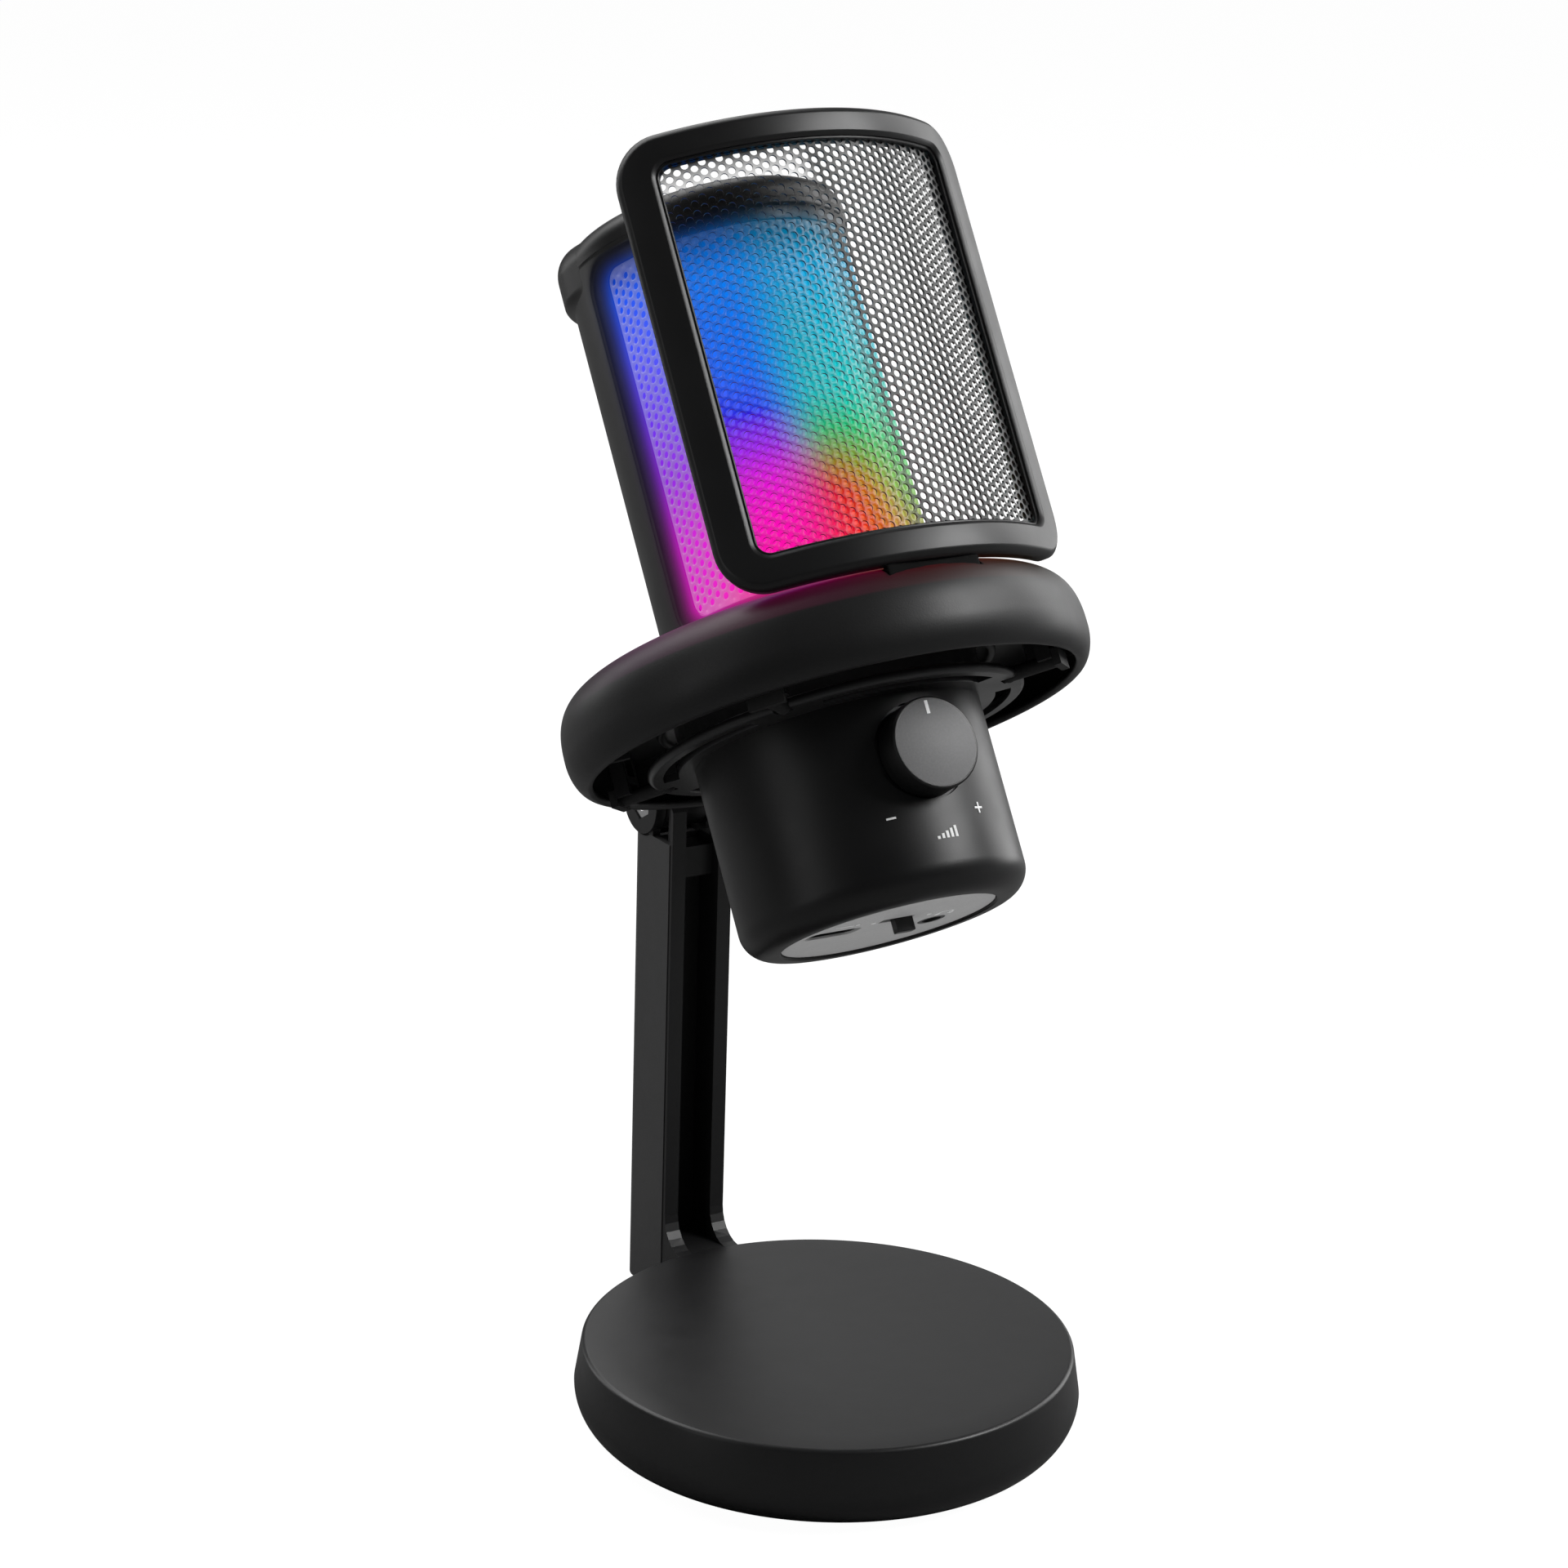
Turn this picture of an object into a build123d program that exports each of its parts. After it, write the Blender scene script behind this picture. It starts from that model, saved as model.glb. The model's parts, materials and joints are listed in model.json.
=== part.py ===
from build123d import *
import os
from math import sin, cos, radians

os.makedirs("parts", exist_ok=True)

# ---- Overall sizes (mm): X across, front of the microphone towards -Y, Z up, floor at z = 0 ----
base_radius = 45.9
base_height = 16.1
mic_radius = 25.5
mic_above_rim = 94.8
mic_below_rim = 36.0
ring_clearance = 3.4
ring_width = 18.1
head_tilt = 32.75
hinge_y = 61.2
hinge_z = 102.1
ring_inner_radius = mic_radius + ring_clearance
ring_radius = ring_inner_radius + ring_width

# ---- Fits and clearances ----
moving_gap = 0.30
pin_gap = 0.08
screw_gap = 0.20

# ---- Base ----
base_top_radius = base_radius - 1.3
base_edge_round = 8.0
base_wall = 2.2
foot_thickness = 1.0
plate_thickness = 2.0
plate_radius = base_radius - 9.6
weight_radius = plate_radius - 1.6
foot_outer = plate_radius - 1.0
foot_inner = foot_outer - 7.5
boss_circle = 21.0
boss_radius = 4.5
base_screw_radius = 1.5
boss_depth = 3.0

# ---- Arm ----
arm_width = 13.1
arm_front_y = 49.5
arm_back_y = 64.2
arm_low_z = 4.6
cover_wall = 1.2
cover_front_y = arm_front_y + 0.9
cover_top_z = hinge_z - 5.9
lip_width = 2.9
groove_depth = 7.0
lip_top_z = hinge_z + 2.6
groove_top_z = hinge_z - 13.2
groove_filler_top_z = hinge_z - 7.3
foot_fillet = 6.0
tongue_half = 4.6

# ---- Hinge ----
hinge_radius = 6.4
knuckle_radius = 5.9
neck_half = 3.1
cheek_outer = 7.0
cheek_inner = 4.9
washer_thickness = 0.5
bolt_radius = 2.0
head_recess_depth = 1.3
nut_flat = 6.6
bolt_head_radius = 3.4

# ---- Head: heights below are measured from the ring's lower rim along the microphone's axis ----
hinge_behind = ring_radius + 15.9
hinge_over_rim = 7.2
shell_wall = 1.6
ring_equator = 5.6
ring_rim_radius = ring_radius - 2.7
ring_crown_radius = ring_inner_radius + 7.1
ring_crown = 16.8
ring_inner_low = 6.6
cradle_wall = 1.7
flange_radius = mic_radius + 7.5
flange_low = -1.1
flange_thickness = 1.3
link_angles = (45, 135, 225, 315)
link_radius = 1.3
hook_outer = ring_radius - 6.4

# ---- Microphone housing ----
housing_wall = 2.2
housing_bore = mic_radius - housing_wall
bottom_round = 5.0
top_round = 3.8
window_low = 21.4
window_high = 85.4
window_half_angle = 78
bezel_half_angle = 88
bezel_border = 2.6
bezel_depth = 0.5
mesh_recess = 1.1
mesh_half_angle = window_half_angle + 7
mesh_margin = 3.0
mesh_thickness = 0.5
diffuser_gap = 0.5
diffuser_wall = 1.4
cap_low = 89.4
hood_step = 1.4
hood_low = 84.4
split_height = 0.0

# ---- Knob and ports ----
knob_height = -11.75
knob_radius = 8.1
knob_out = 4.6
shaft_radius = 3.0
port_plate_radius = mic_radius - bottom_round - 1.3
port_plate_thickness = 1.6
port_plate_recess = 0.5
usb_x = -11.2
usb_width = 8.94
usb_height = 3.26
usb_opening_margin = 0.6
jack_x = 9.9
jack_y = 2.0
jack_bore = 1.78
jack_collar = 2.5
jack_length = 12.0
switch_x = 0.4
switch_y = -4.0
switch_travel = 2.0

# ---- Pop filter ----
filter_radius = 50.9
filter_reach = ring_radius - 1.2
filter_centre_y = filter_radius - filter_reach
filter_half_width = 34.2
filter_low = 15.7
filter_high = 96.8
filter_corner = 8.5
filter_bar = 6.2
filter_side_bar = 6.05
filter_thickness = 3.6
filter_mesh_thickness = 0.4
filter_tab_half = 9.0
filter_tab_thickness = 2.2
filter_tab_depth = 8.0

HEAD = Location((0, hinge_y, hinge_z), (-head_tilt, 0, 0)) * Location((0, -hinge_behind, -hinge_over_rim))


def save(name, shape):
    """Write one node; several solids stay together as one group."""
    solids = [s for s in shape.solids()]
    export_step(Compound(children=solids), f"parts/{name}.step")


def in_head(shape):
    """Turn a shape drawn about the upright microphone axis into its tilted place."""
    return shape.moved(HEAD)


def block(x0, x1, y0, y1, z0, z1):
    """Box between two corners."""
    centre = ((x0 + x1) / 2, (y0 + y1) / 2, (z0 + z1) / 2)
    return Pos(*centre) * Box(x1 - x0, y1 - y0, z1 - z0)


def post(radius, z0, z1, x=0.0, y=0.0):
    """Upright cylinder between two heights."""
    return Pos(x, y, (z0 + z1) / 2) * Cylinder(radius, z1 - z0)


def tube(outer, inner, z0, z1):
    """Upright tube between two heights."""
    return post(outer, z0, z1) - post(inner, z0 - 1, z1 + 1)


def along_x(radius, x0, x1, y, z):
    """Cylinder lying along X."""
    return Pos((x0 + x1) / 2, y, z) * Rot(0, 90, 0) * Cylinder(radius, x1 - x0)


def along_y(radius, y0, y1, x, z):
    """Cylinder lying along Y."""
    return Pos(x, (y0 + y1) / 2, z) * Rot(90, 0, 0) * Cylinder(radius, y1 - y0)


def turned(points):
    """Solid turned about Z from a closed outline of (radius, height) points."""
    outline = Polyline(*[(r, 0, z) for r, z in points], close=True)
    return revolve(make_face(outline), Axis.Z)


def sector(inner, outer, half_angle, z0, z1):
    """Curved wall centred on -Y, reaching half_angle to either side."""
    arc = [(outer * sin(radians(a)), -outer * cos(radians(a))) for a in (-half_angle, 0, half_angle)]
    low = [(inner * sin(radians(a)), -inner * cos(radians(a))) for a in (half_angle, 0, -half_angle)]
    edges = [ThreePointArc(*arc), Line(arc[2], low[0]), ThreePointArc(*low), Line(low[2], arc[0])]
    return Pos(0, 0, z0) * extrude(make_face(edges), z1 - z0)


def rounded_sector(wall, radius):
    """Round the four corners of a curved wall as seen from outside."""
    flat = [e for e in wall.edges() if e.geom_type == GeomType.LINE]
    radial = [e for e in flat if abs(e.tangent_at(0.5).Z) < 0.1]
    return fillet(radial, radius)


def upright_panel(half_width, z0, z1, corner, depth):
    """Rounded rectangle facing -Y, pushed forward from the axis by depth."""
    plane = Plane(origin=(0, 0, (z0 + z1) / 2), x_dir=(1, 0, 0), z_dir=(0, -1, 0))
    return extrude(plane * RectangleRounded(2 * half_width, z1 - z0, corner), depth)


# ======================= Base =======================

round_steps = [radians(a) for a in (0, 15, 30, 45, 60, 75, 90)]


def base_outline(inset):
    """Outside of the base, or the same outline moved in by inset."""
    wall = base_radius - inset
    curve = base_edge_round - inset
    pts = [(0, base_height - inset), (base_top_radius - inset - 0.8, base_height - inset)]
    pts += [(base_top_radius - inset - 0.2, base_height - inset - 0.25)]
    pts += [(base_top_radius - inset, base_height - inset - 0.8)]
    for a in round_steps:
        pts.append((wall - curve + curve * cos(a), base_edge_round - curve * sin(a)))
    pts.append((0, base_edge_round - curve))
    return pts


base_solid = turned(base_outline(0)) - post(base_radius, -1, foot_thickness)
base_hollow = turned(base_outline(base_wall))
boss_places = [(boss_circle * cos(radians(a)), boss_circle * sin(radians(a))) for a in (90, 210, 330)]
weight_low = foot_thickness + plate_thickness
weight_high = base_height - base_wall - boss_depth
screw_tip = base_height - base_wall - 0.6

base_shell = base_solid - base_hollow - post(plate_radius + 0.1, 0, weight_low)
for x, y in boss_places:
    base_shell += post(boss_radius, weight_high, base_height - base_wall + 0.2, x, y)
    base_shell -= post(base_screw_radius, weight_high - 1, screw_tip, x, y)
tongue_slot = block(-tongue_half - 0.1, tongue_half + 0.1, 38, base_radius + 1, 4.9, 12.1)
foot_screw_y = base_radius - 4.7
foot_screw_x = (-2.6, 2.6)
for x in foot_screw_x:
    base_shell += post(2.0, 2.2, 4.9, x, foot_screw_y)
    base_shell -= post(1.0 + screw_gap, 0, 6, x, foot_screw_y)
    base_shell -= post(2.0, 0, 2.0, x, foot_screw_y)
base_shell -= tongue_slot

base_plate = post(plate_radius, foot_thickness, weight_low)
base_weight = post(weight_radius, weight_low, weight_high)
base_screws = []
for x, y in boss_places:
    base_plate -= post(base_screw_radius + screw_gap, 0, 9, x, y)
    base_plate -= post(3.1, 0, foot_thickness + 1.2, x, y)
    base_weight -= post(base_screw_radius + screw_gap, 0, 20, x, y)
    head = post(2.8, foot_thickness + 0.1, foot_thickness + 1.2, x, y)
    socket = post(1.1, 0, foot_thickness + 0.7, x, y)
    base_screws.append(head - socket + post(base_screw_radius, foot_thickness + 1.1, screw_tip, x, y))
rubber_foot = tube(foot_outer, foot_inner, 0, foot_thickness)

save("base_shell", base_shell)
save("base_plate", base_plate)
save("base_weight", base_weight)
save("base_screws", Compound(children=base_screws))
save("rubber_foot", rubber_foot)

# ======================= Arm =======================

half = arm_width / 2
core_half = half - cover_wall
lip_half = half - 0.15
spine_back = arm_back_y - cover_wall
groove_half = half - 0.15 - lip_width

side_face = [
    (arm_front_y, base_height + foot_fillet),
    (arm_front_y, lip_top_z - 2.0),
    (arm_front_y + 2.0, lip_top_z),
    (arm_front_y + 3.4, lip_top_z),
    (cover_front_y + 2.6, cover_top_z),
    (spine_back, cover_top_z),
    (spine_back, arm_low_z + 1.2),
    (42.0, arm_low_z + 1.2),
    (arm_front_y - foot_fillet, base_height),
]
foot_curve = []
for a in (15, 30, 45, 60, 75):
    fy = arm_front_y - foot_fillet + foot_fillet * sin(radians(a))
    fz = base_height + foot_fillet - foot_fillet * cos(radians(a))
    foot_curve.append((fy, fz))
profile = Polyline(*[(0, y, z) for y, z in side_face + foot_curve], close=True)
side_solid = extrude(make_face(profile), lip_half, both=True)
behind_lips = block(-40, -core_half, cover_front_y, 90, 0, 200)
behind_lips += block(core_half, 40, cover_front_y, 90, 0, 200)
spine = side_solid - behind_lips
spine -= block(-groove_half, groove_half, 20, arm_front_y + groove_depth, base_height, groove_top_z)
spine -= block(-groove_half, groove_half, 20, arm_front_y + 2.4, groove_top_z - 1, 200)
spine -= block(-groove_half, groove_half, 20, hinge_y + 8, groove_filler_top_z, 200)
spine -= turned([(0, 0), (base_radius, 0), (base_radius, base_edge_round),
                 (base_top_radius, base_height - 0.8),
                 (base_top_radius - 0.2, base_height - 0.25), (base_top_radius - 0.8, base_height),
                 (0, base_height)])
spine += block(-tongue_half, tongue_half, 39, 50, 5.0, 12.0)
foot_screws = []
for x in foot_screw_x:
    spine -= post(1.0, 4, 11, x, foot_screw_y)
    foot_screws.append(post(1.8, 1.1, 2.0, x, foot_screw_y) + post(1.0, 1.9, 10.8, x, foot_screw_y))

cheek_stem = block(-core_half, core_half, hinge_y - 4.4, spine_back - 0.2, cover_top_z - 4, hinge_z - 2)
cheeks = along_x(hinge_radius, -cheek_outer, cheek_outer, hinge_y, hinge_z) + cheek_stem
cheeks += block(-half, half, hinge_y - 4.4, hinge_y + 1.5, cover_top_z, hinge_z)
cheeks -= along_x(knuckle_radius + 1.6, -cheek_inner, cheek_inner, hinge_y, hinge_z)
cheeks -= along_x(bolt_radius + screw_gap, -20, 20, hinge_y, hinge_z)
nut_hex = Pos(-cheek_outer + head_recess_depth / 2, hinge_y, hinge_z) * Rot(0, 90, 0)
hex_prism = extrude(RegularPolygon(nut_flat / 2, 6, major_radius=False), head_recess_depth, both=True)
cheeks -= Pos(-cheek_outer, hinge_y, hinge_z) * Rot(0, 90, 0) * hex_prism
cheeks -= along_x(bolt_head_radius + 0.2, cheek_outer - head_recess_depth, 20, hinge_y, hinge_z)
knuckle_space = along_x(knuckle_radius + 1.6, -cheek_inner, cheek_inner, hinge_y, hinge_z)
spine = spine - knuckle_space + cheeks

cover = block(-half, half, cover_front_y, arm_back_y, arm_low_z, cover_top_z)
back_corners = [e for e in cover.edges().filter_by(Axis.Z) if e.center().Y > arm_back_y - 1]
cover = fillet(back_corners, 2.2)
low_back = [e for e in cover.edges().filter_by(Axis.X) if e.center().Z < arm_low_z + 1]
cover = fillet(low_back, 1.1)
cover -= block(-core_half, core_half, 0, spine_back, 0, 200)
cover -= turned([(0, 0), (base_radius + 0.2, 0), (base_radius + 0.2, base_height), (0, base_height)])
cover -= along_x(hinge_radius + 0.4, -20, 20, hinge_y, hinge_z)
spine -= cover

save("arm_spine", spine)
save("arm_cover", cover)
save("arm_foot_screws", Compound(children=foot_screws))

# ======================= Hinge =======================

nut_thickness = head_recess_depth - 0.3
nut_x = -cheek_outer + head_recess_depth - nut_thickness
hex_nut = extrude(RegularPolygon(nut_flat / 2 - 0.1, 6, major_radius=False), nut_thickness)
hinge_nut = Pos(nut_x, hinge_y, hinge_z) * Rot(0, 90, 0) * hex_nut
hinge_nut -= along_x(bolt_radius, -20, 20, hinge_y, hinge_z)
hinge_bolt = along_x(bolt_radius, nut_x, cheek_outer - head_recess_depth + 0.1, hinge_y, hinge_z)
bolt_head = along_x(bolt_head_radius, cheek_outer - head_recess_depth, cheek_outer - 0.2, hinge_y, hinge_z)
hex_key = extrude(RegularPolygon(1.5, 6, major_radius=False), 0.7)
bolt_head -= Pos(cheek_outer - 0.85, hinge_y, hinge_z) * Rot(0, 90, 0) * hex_key
hinge_bolt = hinge_bolt + bolt_head
washers = []
knuckle_half = cheek_inner - washer_thickness - 0.05
for side in (-1, 1):
    inner_x = side * (cheek_inner - washer_thickness)
    ring = along_x(knuckle_radius - 0.9, min(inner_x, side * cheek_inner), max(inner_x, side * cheek_inner),
                   hinge_y, hinge_z)
    washers.append(ring - along_x(bolt_radius + 0.02, -20, 20, hinge_y, hinge_z))
save("hinge_bolt", hinge_bolt)
save("hinge_nut", hinge_nut)
save("hinge_washers", Compound(children=washers))

# ======================= Ring =======================


def ring_outline(inset):
    """Doughnut section from the inner lower edge over the crown to the lower rim."""
    crown = ring_crown - inset
    outer = ring_radius - inset
    inner = ring_inner_radius + inset
    rim = ring_rim_radius - inset
    pts = []
    for a in (0, 12, 24, 36, 48, 60, 72, 84, 90):
        s, c = sin(radians(a)) ** 0.8, cos(radians(a)) ** 0.8
        pts.append((ring_crown_radius - (ring_crown_radius - inner) * c,
                    ring_inner_low + (crown - ring_inner_low) * s))
    for a in (84, 72, 60, 48, 36, 24, 12, 0):
        s, c = sin(radians(a)) ** 0.8, cos(radians(a)) ** 0.8
        across = ring_crown_radius + (outer - ring_crown_radius) * c
        pts.append((across, ring_equator + (crown - ring_equator) * s))
    for a in (15, 30, 45, 60, 75, 90):
        s, c = sin(radians(a)) ** 1.5, cos(radians(a)) ** 1.5
        pts.append((rim + (outer - rim) * c, ring_equator * (1 - s)))
    return pts


def ring_solid(inset):
    """Solid doughnut bounded by the section and closed by a cone underneath."""
    return turned(ring_outline(inset))


ring_body = ring_solid(0)
cavity = ring_solid(shell_wall)
cavity += turned([(ring_inner_radius + shell_wall, -2), (ring_rim_radius - shell_wall, -2),
                  (ring_rim_radius - shell_wall, 0.05),
                  (ring_inner_radius + shell_wall, ring_inner_low + 0.05)])
ring_shell = ring_body - cavity
throat = block(-5.4, 5.4, ring_radius - 6, ring_radius + 2, hinge_over_rim - 3.9, hinge_over_rim + 2.3)
ring_shell -= throat
filter_face = filter_radius - filter_centre_y
tab_front = -(filter_face - 0.8)
tab_back = tab_front + filter_tab_thickness
tab_low = filter_low - filter_tab_depth
slot = block(-filter_tab_half - moving_gap, filter_tab_half + moving_gap, tab_front - moving_gap,
             tab_back + moving_gap, tab_low - 0.5, 30)
ring_shell -= slot
save("ring_shell", in_head(ring_shell))

shelf_z = 8.6
carrier = tube(ring_radius, ring_inner_radius + shell_wall + 0.6, shelf_z, shelf_z + 1.8) & cavity
for k in range(8):
    rib = Rot(0, 0, 22.5 + 45 * k) * block(ring_crown_radius, ring_radius + 3, -0.7, 0.7, 3.4, 20)
    carrier += (rib & cavity)
for a in link_angles:
    for off in (-2.6, 2.6):
        hook = block(hook_outer - 2.6, hook_outer, off - 0.7, off + 0.7, -0.2, shelf_z + 0.2)
        carrier += Rot(0, 0, a) * hook
    carrier += Rot(0, 0, a) * block(hook_outer - 2.6, hook_outer - 1.4, -3.3, 3.3, 2.0, 3.3)
carrier -= block(-filter_tab_half - 1, filter_tab_half + 1, -ring_radius, tab_back + 1, -5, 30)
carrier -= block(-8.0, 8.0, ring_radius - 10.2, ring_radius + 5, -5, 30)
save("ring_carrier", in_head(carrier))

neck = block(-neck_half, neck_half, ring_radius - 4, hinge_behind, hinge_over_rim - 3.2, hinge_over_rim + 2.2)
neck += along_x(knuckle_radius, -knuckle_half, knuckle_half, hinge_behind, hinge_over_rim)
neck += block(-5.3, 5.3, ring_radius - 4, ring_radius + 1.6, hinge_over_rim - 3.8, hinge_over_rim + 2.2)
neck -= ring_body
plug = block(-5.3, 5.3, ring_radius - 6, ring_radius + 1, hinge_over_rim - 3.8, hinge_over_rim + 2.2)
pad = block(-7.6, 7.6, ring_radius - 8.5, ring_radius, hinge_over_rim - 5.4, hinge_over_rim + 3.4) & cavity
bracket = neck + plug + pad
bracket -= along_x(bolt_radius + pin_gap, -20, 20, hinge_behind, hinge_over_rim)
bracket_screws = []
for z in (hinge_over_rim - 2.2, hinge_over_rim + 0.6):
    bracket -= along_y(0.9, 30, ring_radius + 4.5, 0, z)
    shank = along_y(0.9, ring_radius - 8.6, ring_radius + 4.4, 0, z)
    bracket_screws.append(shank)
heads = along_y(1.0, ring_radius - 9.6, ring_radius - 8.5, 0, hinge_over_rim - 2.2)
heads += along_y(1.0, ring_radius - 9.6, ring_radius - 8.5, 0, hinge_over_rim + 0.6)
bracket_screws = [s + h for s, h in zip(bracket_screws, heads.solids())]
save("ring_bracket", in_head(bracket))
save("bracket_screws", in_head(Compound(children=bracket_screws)))

cradle = tube(mic_radius + cradle_wall, mic_radius, flange_low, 13.0)
flange = tube(flange_radius, mic_radius + cradle_wall - 0.1, flange_low, flange_low + flange_thickness)
flange += Pos(0, 0, flange_low + 0.9) * Torus(flange_radius - 0.1, 0.9)
slot_ring = tube(flange_radius - 1.8, mic_radius + 2.9, flange_low - 3, flange_low + 5)
for a in (0, 90, 180, 270):
    flange -= slot_ring & (Rot(0, 0, a + 90) * sector(20, 40, 33, flange_low - 3, flange_low + 5))
for a in link_angles:
    flange -= Rot(0, 0, a) * block(flange_radius - 2.4, 40, -1.5, 1.5, flange_low - 3, flange_low + 5)
cradle += flange
save("cradle", in_head(cradle))

links = []
link_z = flange_low + 0.9
for a in link_angles:
    bead = Pos(flange_radius - 1.0, 0, link_z) * Sphere(link_radius + 0.1)
    cord_end = hook_outer + 0.3
    cord_middle = (flange_radius + cord_end) / 2 - 0.5
    cord_length = cord_end - flange_radius + 1
    cord = Pos(cord_middle, 0, link_z) * Rot(0, 90, 0) * Cylinder(link_radius, cord_length)
    cap = block(hook_outer, hook_outer + 1.4, -3.2, 3.2, link_z - 1.5, link_z + 1.5)
    links.append(Rot(0, 0, a) * (bead + cord + cap))
save("suspension_links", in_head(Compound(children=links)))

# ======================= Microphone housing =======================

low_pts = [(port_plate_radius, -mic_below_rim), (mic_radius - bottom_round, -mic_below_rim)]
for a in round_steps[::-1][1:]:
    low_pts.append((mic_radius - bottom_round + bottom_round * cos(a),
                    -mic_below_rim + bottom_round * (1 - sin(a))))
low_pts += [(mic_radius, split_height), (housing_bore, split_height)]
inner_round = bottom_round - housing_wall
for a in round_steps:
    low_pts.append((housing_bore - inner_round + inner_round * cos(a),
                    -mic_below_rim + bottom_round - inner_round * sin(a)))
low_pts.append((port_plate_radius - 2.0, -mic_below_rim + housing_wall))
low_pts.append((port_plate_radius - 2.0, -mic_below_rim + port_plate_recess + port_plate_thickness))
low_pts.append((port_plate_radius, -mic_below_rim + port_plate_recess + port_plate_thickness))
lower_housing = turned(low_pts)
knob_floor = mic_radius - 1.3
knob_boss = along_y(knob_radius + 1.9, -knob_floor, -knob_floor + 2.6, 0, knob_height)
lower_housing += knob_boss & post(mic_radius - 0.5, -40, 0)
lower_housing -= along_y(knob_radius + 0.5, -mic_radius - 5, -knob_floor, 0, knob_height)
lower_housing -= along_y(shaft_radius + moving_gap, -40, -10, 0, knob_height)
save("lower_housing", in_head(lower_housing))

upper = tube(mic_radius, housing_bore, split_height, cap_low)
window = sector(housing_bore - 4, mic_radius + 4, window_half_angle, window_low, window_high)
bezel = sector(mic_radius - bezel_depth, mic_radius + 4, bezel_half_angle, window_low - bezel_border,
               window_high + bezel_border)
window = rounded_sector(window, 5.0)
bezel = rounded_sector(bezel, 7.0)
mesh_outer = mic_radius - mesh_recess
mesh_low = window_low - mesh_margin
mesh_high = window_high + mesh_margin
mesh_seat = sector(housing_bore - 4, mesh_outer, mesh_half_angle, mesh_low, mesh_high)
upper_housing = upper - window - bezel - mesh_seat
save("upper_housing", in_head(upper_housing))

cap_pts = [(0, mic_above_rim), (mic_radius - top_round, mic_above_rim)]
for a in round_steps[::-1][1:]:
    cap_pts.append((mic_radius - top_round + top_round * cos(a), mic_above_rim - top_round * (1 - sin(a))))
cap_pts += [(mic_radius, cap_low), (housing_bore, cap_low)]
cap_pts += [(housing_bore - 1.2, cap_low + 2.6), (0, cap_low + 3.2)]
top_cap = turned(cap_pts)
hood_pts = [(mic_radius - 0.05, hood_low), (mic_radius + hood_step - 0.5, hood_low + 0.9),
            (mic_radius + hood_step, hood_low + 1.9), (mic_radius + hood_step, mic_above_rim - 4.2),
            (mic_radius + hood_step - 0.9, mic_above_rim - 2.2), (mic_radius - 1.2, mic_above_rim - 0.6),
            (mic_radius - 6, mic_above_rim - 0.1), (mic_radius - 6, cap_low + 4),
            (mic_radius - 0.05, cap_low + 0.5)]
hood_ring = turned(hood_pts)
hood = hood_ring & (Rot(0, 0, 180) * sector(5, 40, 78, 60, 120))
top_cap = top_cap + hood - upper_housing
touch_recess = post(12.2, mic_above_rim - 0.6, mic_above_rim + 1)
top_cap -= touch_recess
save("top_cap", in_head(top_cap))
save("touch_plate", in_head(post(12.0, mic_above_rim - 0.6, mic_above_rim - 0.1)))

mesh_inner = mesh_outer - mesh_thickness
body_mesh = sector(mesh_inner, mesh_outer, mesh_half_angle, mesh_low, mesh_high)
save("body_mesh", in_head(body_mesh))
diffuser_outer = housing_bore - diffuser_gap
diffuser = tube(diffuser_outer, diffuser_outer - diffuser_wall, window_low - 4, window_high + 3.2)
save("diffuser", in_head(diffuser))

board_low = window_low - 4
board_high = cap_low
board_half = 20.4
led_board = block(-board_half, board_half, 2.0, 3.6, board_low + 4.4, board_high - 0.4)
leds = []
for col in (-12, 0, 12):
    for row in range(6):
        z = board_low + 10 + row * 11.4
        leds.append(block(col - 1.75, col + 1.75, 0.5, 2.0, z - 1.75, z + 1.75))
save("led_board", in_head(led_board))
save("leds", in_head(Compound(children=leds)))
shelf = tube(diffuser_outer, 6.0, window_low - 5.6, window_low - 4)
shelf += block(-17, 17, 1.2, 4.4, window_low - 4, window_low + 0.4)
shelf -= block(-30, 30, 2.0, 3.6, window_low + 0.39, 90)
shelf += tube(housing_bore, diffuser_outer - 0.4, window_low - 8, window_low - 4)
save("inner_shelf", in_head(shelf))

capsule_z = 62.0
capsule = along_y(7.0, -16.0, -8.0, 0, capsule_z)
boot = along_y(9.0, -14.5, -6.5, 0, capsule_z) - capsule
boot_stem = block(-3, 3, -6.6, 2.0, capsule_z - 3, capsule_z + 3)
save("capsule", in_head(capsule))
save("capsule_boot", in_head(boot + (boot_stem - Compound(children=leds))))

# ======================= Knob, ports and boards =======================

knob_back = -knob_floor - moving_gap
knob_face = -(mic_radius + knob_out)
knob = along_y(knob_radius, knob_face, knob_back, 0, knob_height)
rim_edges = [e for e in knob.edges() if abs(e.center().Y - knob_face) < 0.1]
knob = fillet(rim_edges, 0.5)
knob_back_face = Location((0, knob_back + 0.01, knob_height), (90, 0, 0))
knob -= tube(knob_radius - 1.2, shaft_radius + 1.6, 0, 3.4).moved(knob_back_face)
knob -= along_y(shaft_radius - 0.6, knob_face + 1.5, knob_back + 1, 0, knob_height)
index_mark = block(-0.3, 0.3, knob_face - 0.12, knob_face, knob_height + 5.0, knob_height + 7.3)
save("gain_knob", in_head(knob))
save("knob_mark", in_head(index_mark))
shaft = along_y(shaft_radius - 0.6, knob_face + 1.5, -15.6, 0, knob_height)
save("knob_shaft", in_head(shaft))
gauge = block(-6, 6, -knob_floor + 2.6, -14.0, knob_height - 6, knob_height + 6)
gauge -= along_y(shaft_radius - 0.6 + pin_gap, -40, -15.6 + moving_gap, 0, knob_height)
save("gain_control", in_head(gauge))
main_board = block(-18, 18, -14.0, -12.4, -mic_below_rim + 6.6, window_low - 9.5)
save("main_board", in_head(main_board))


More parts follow.
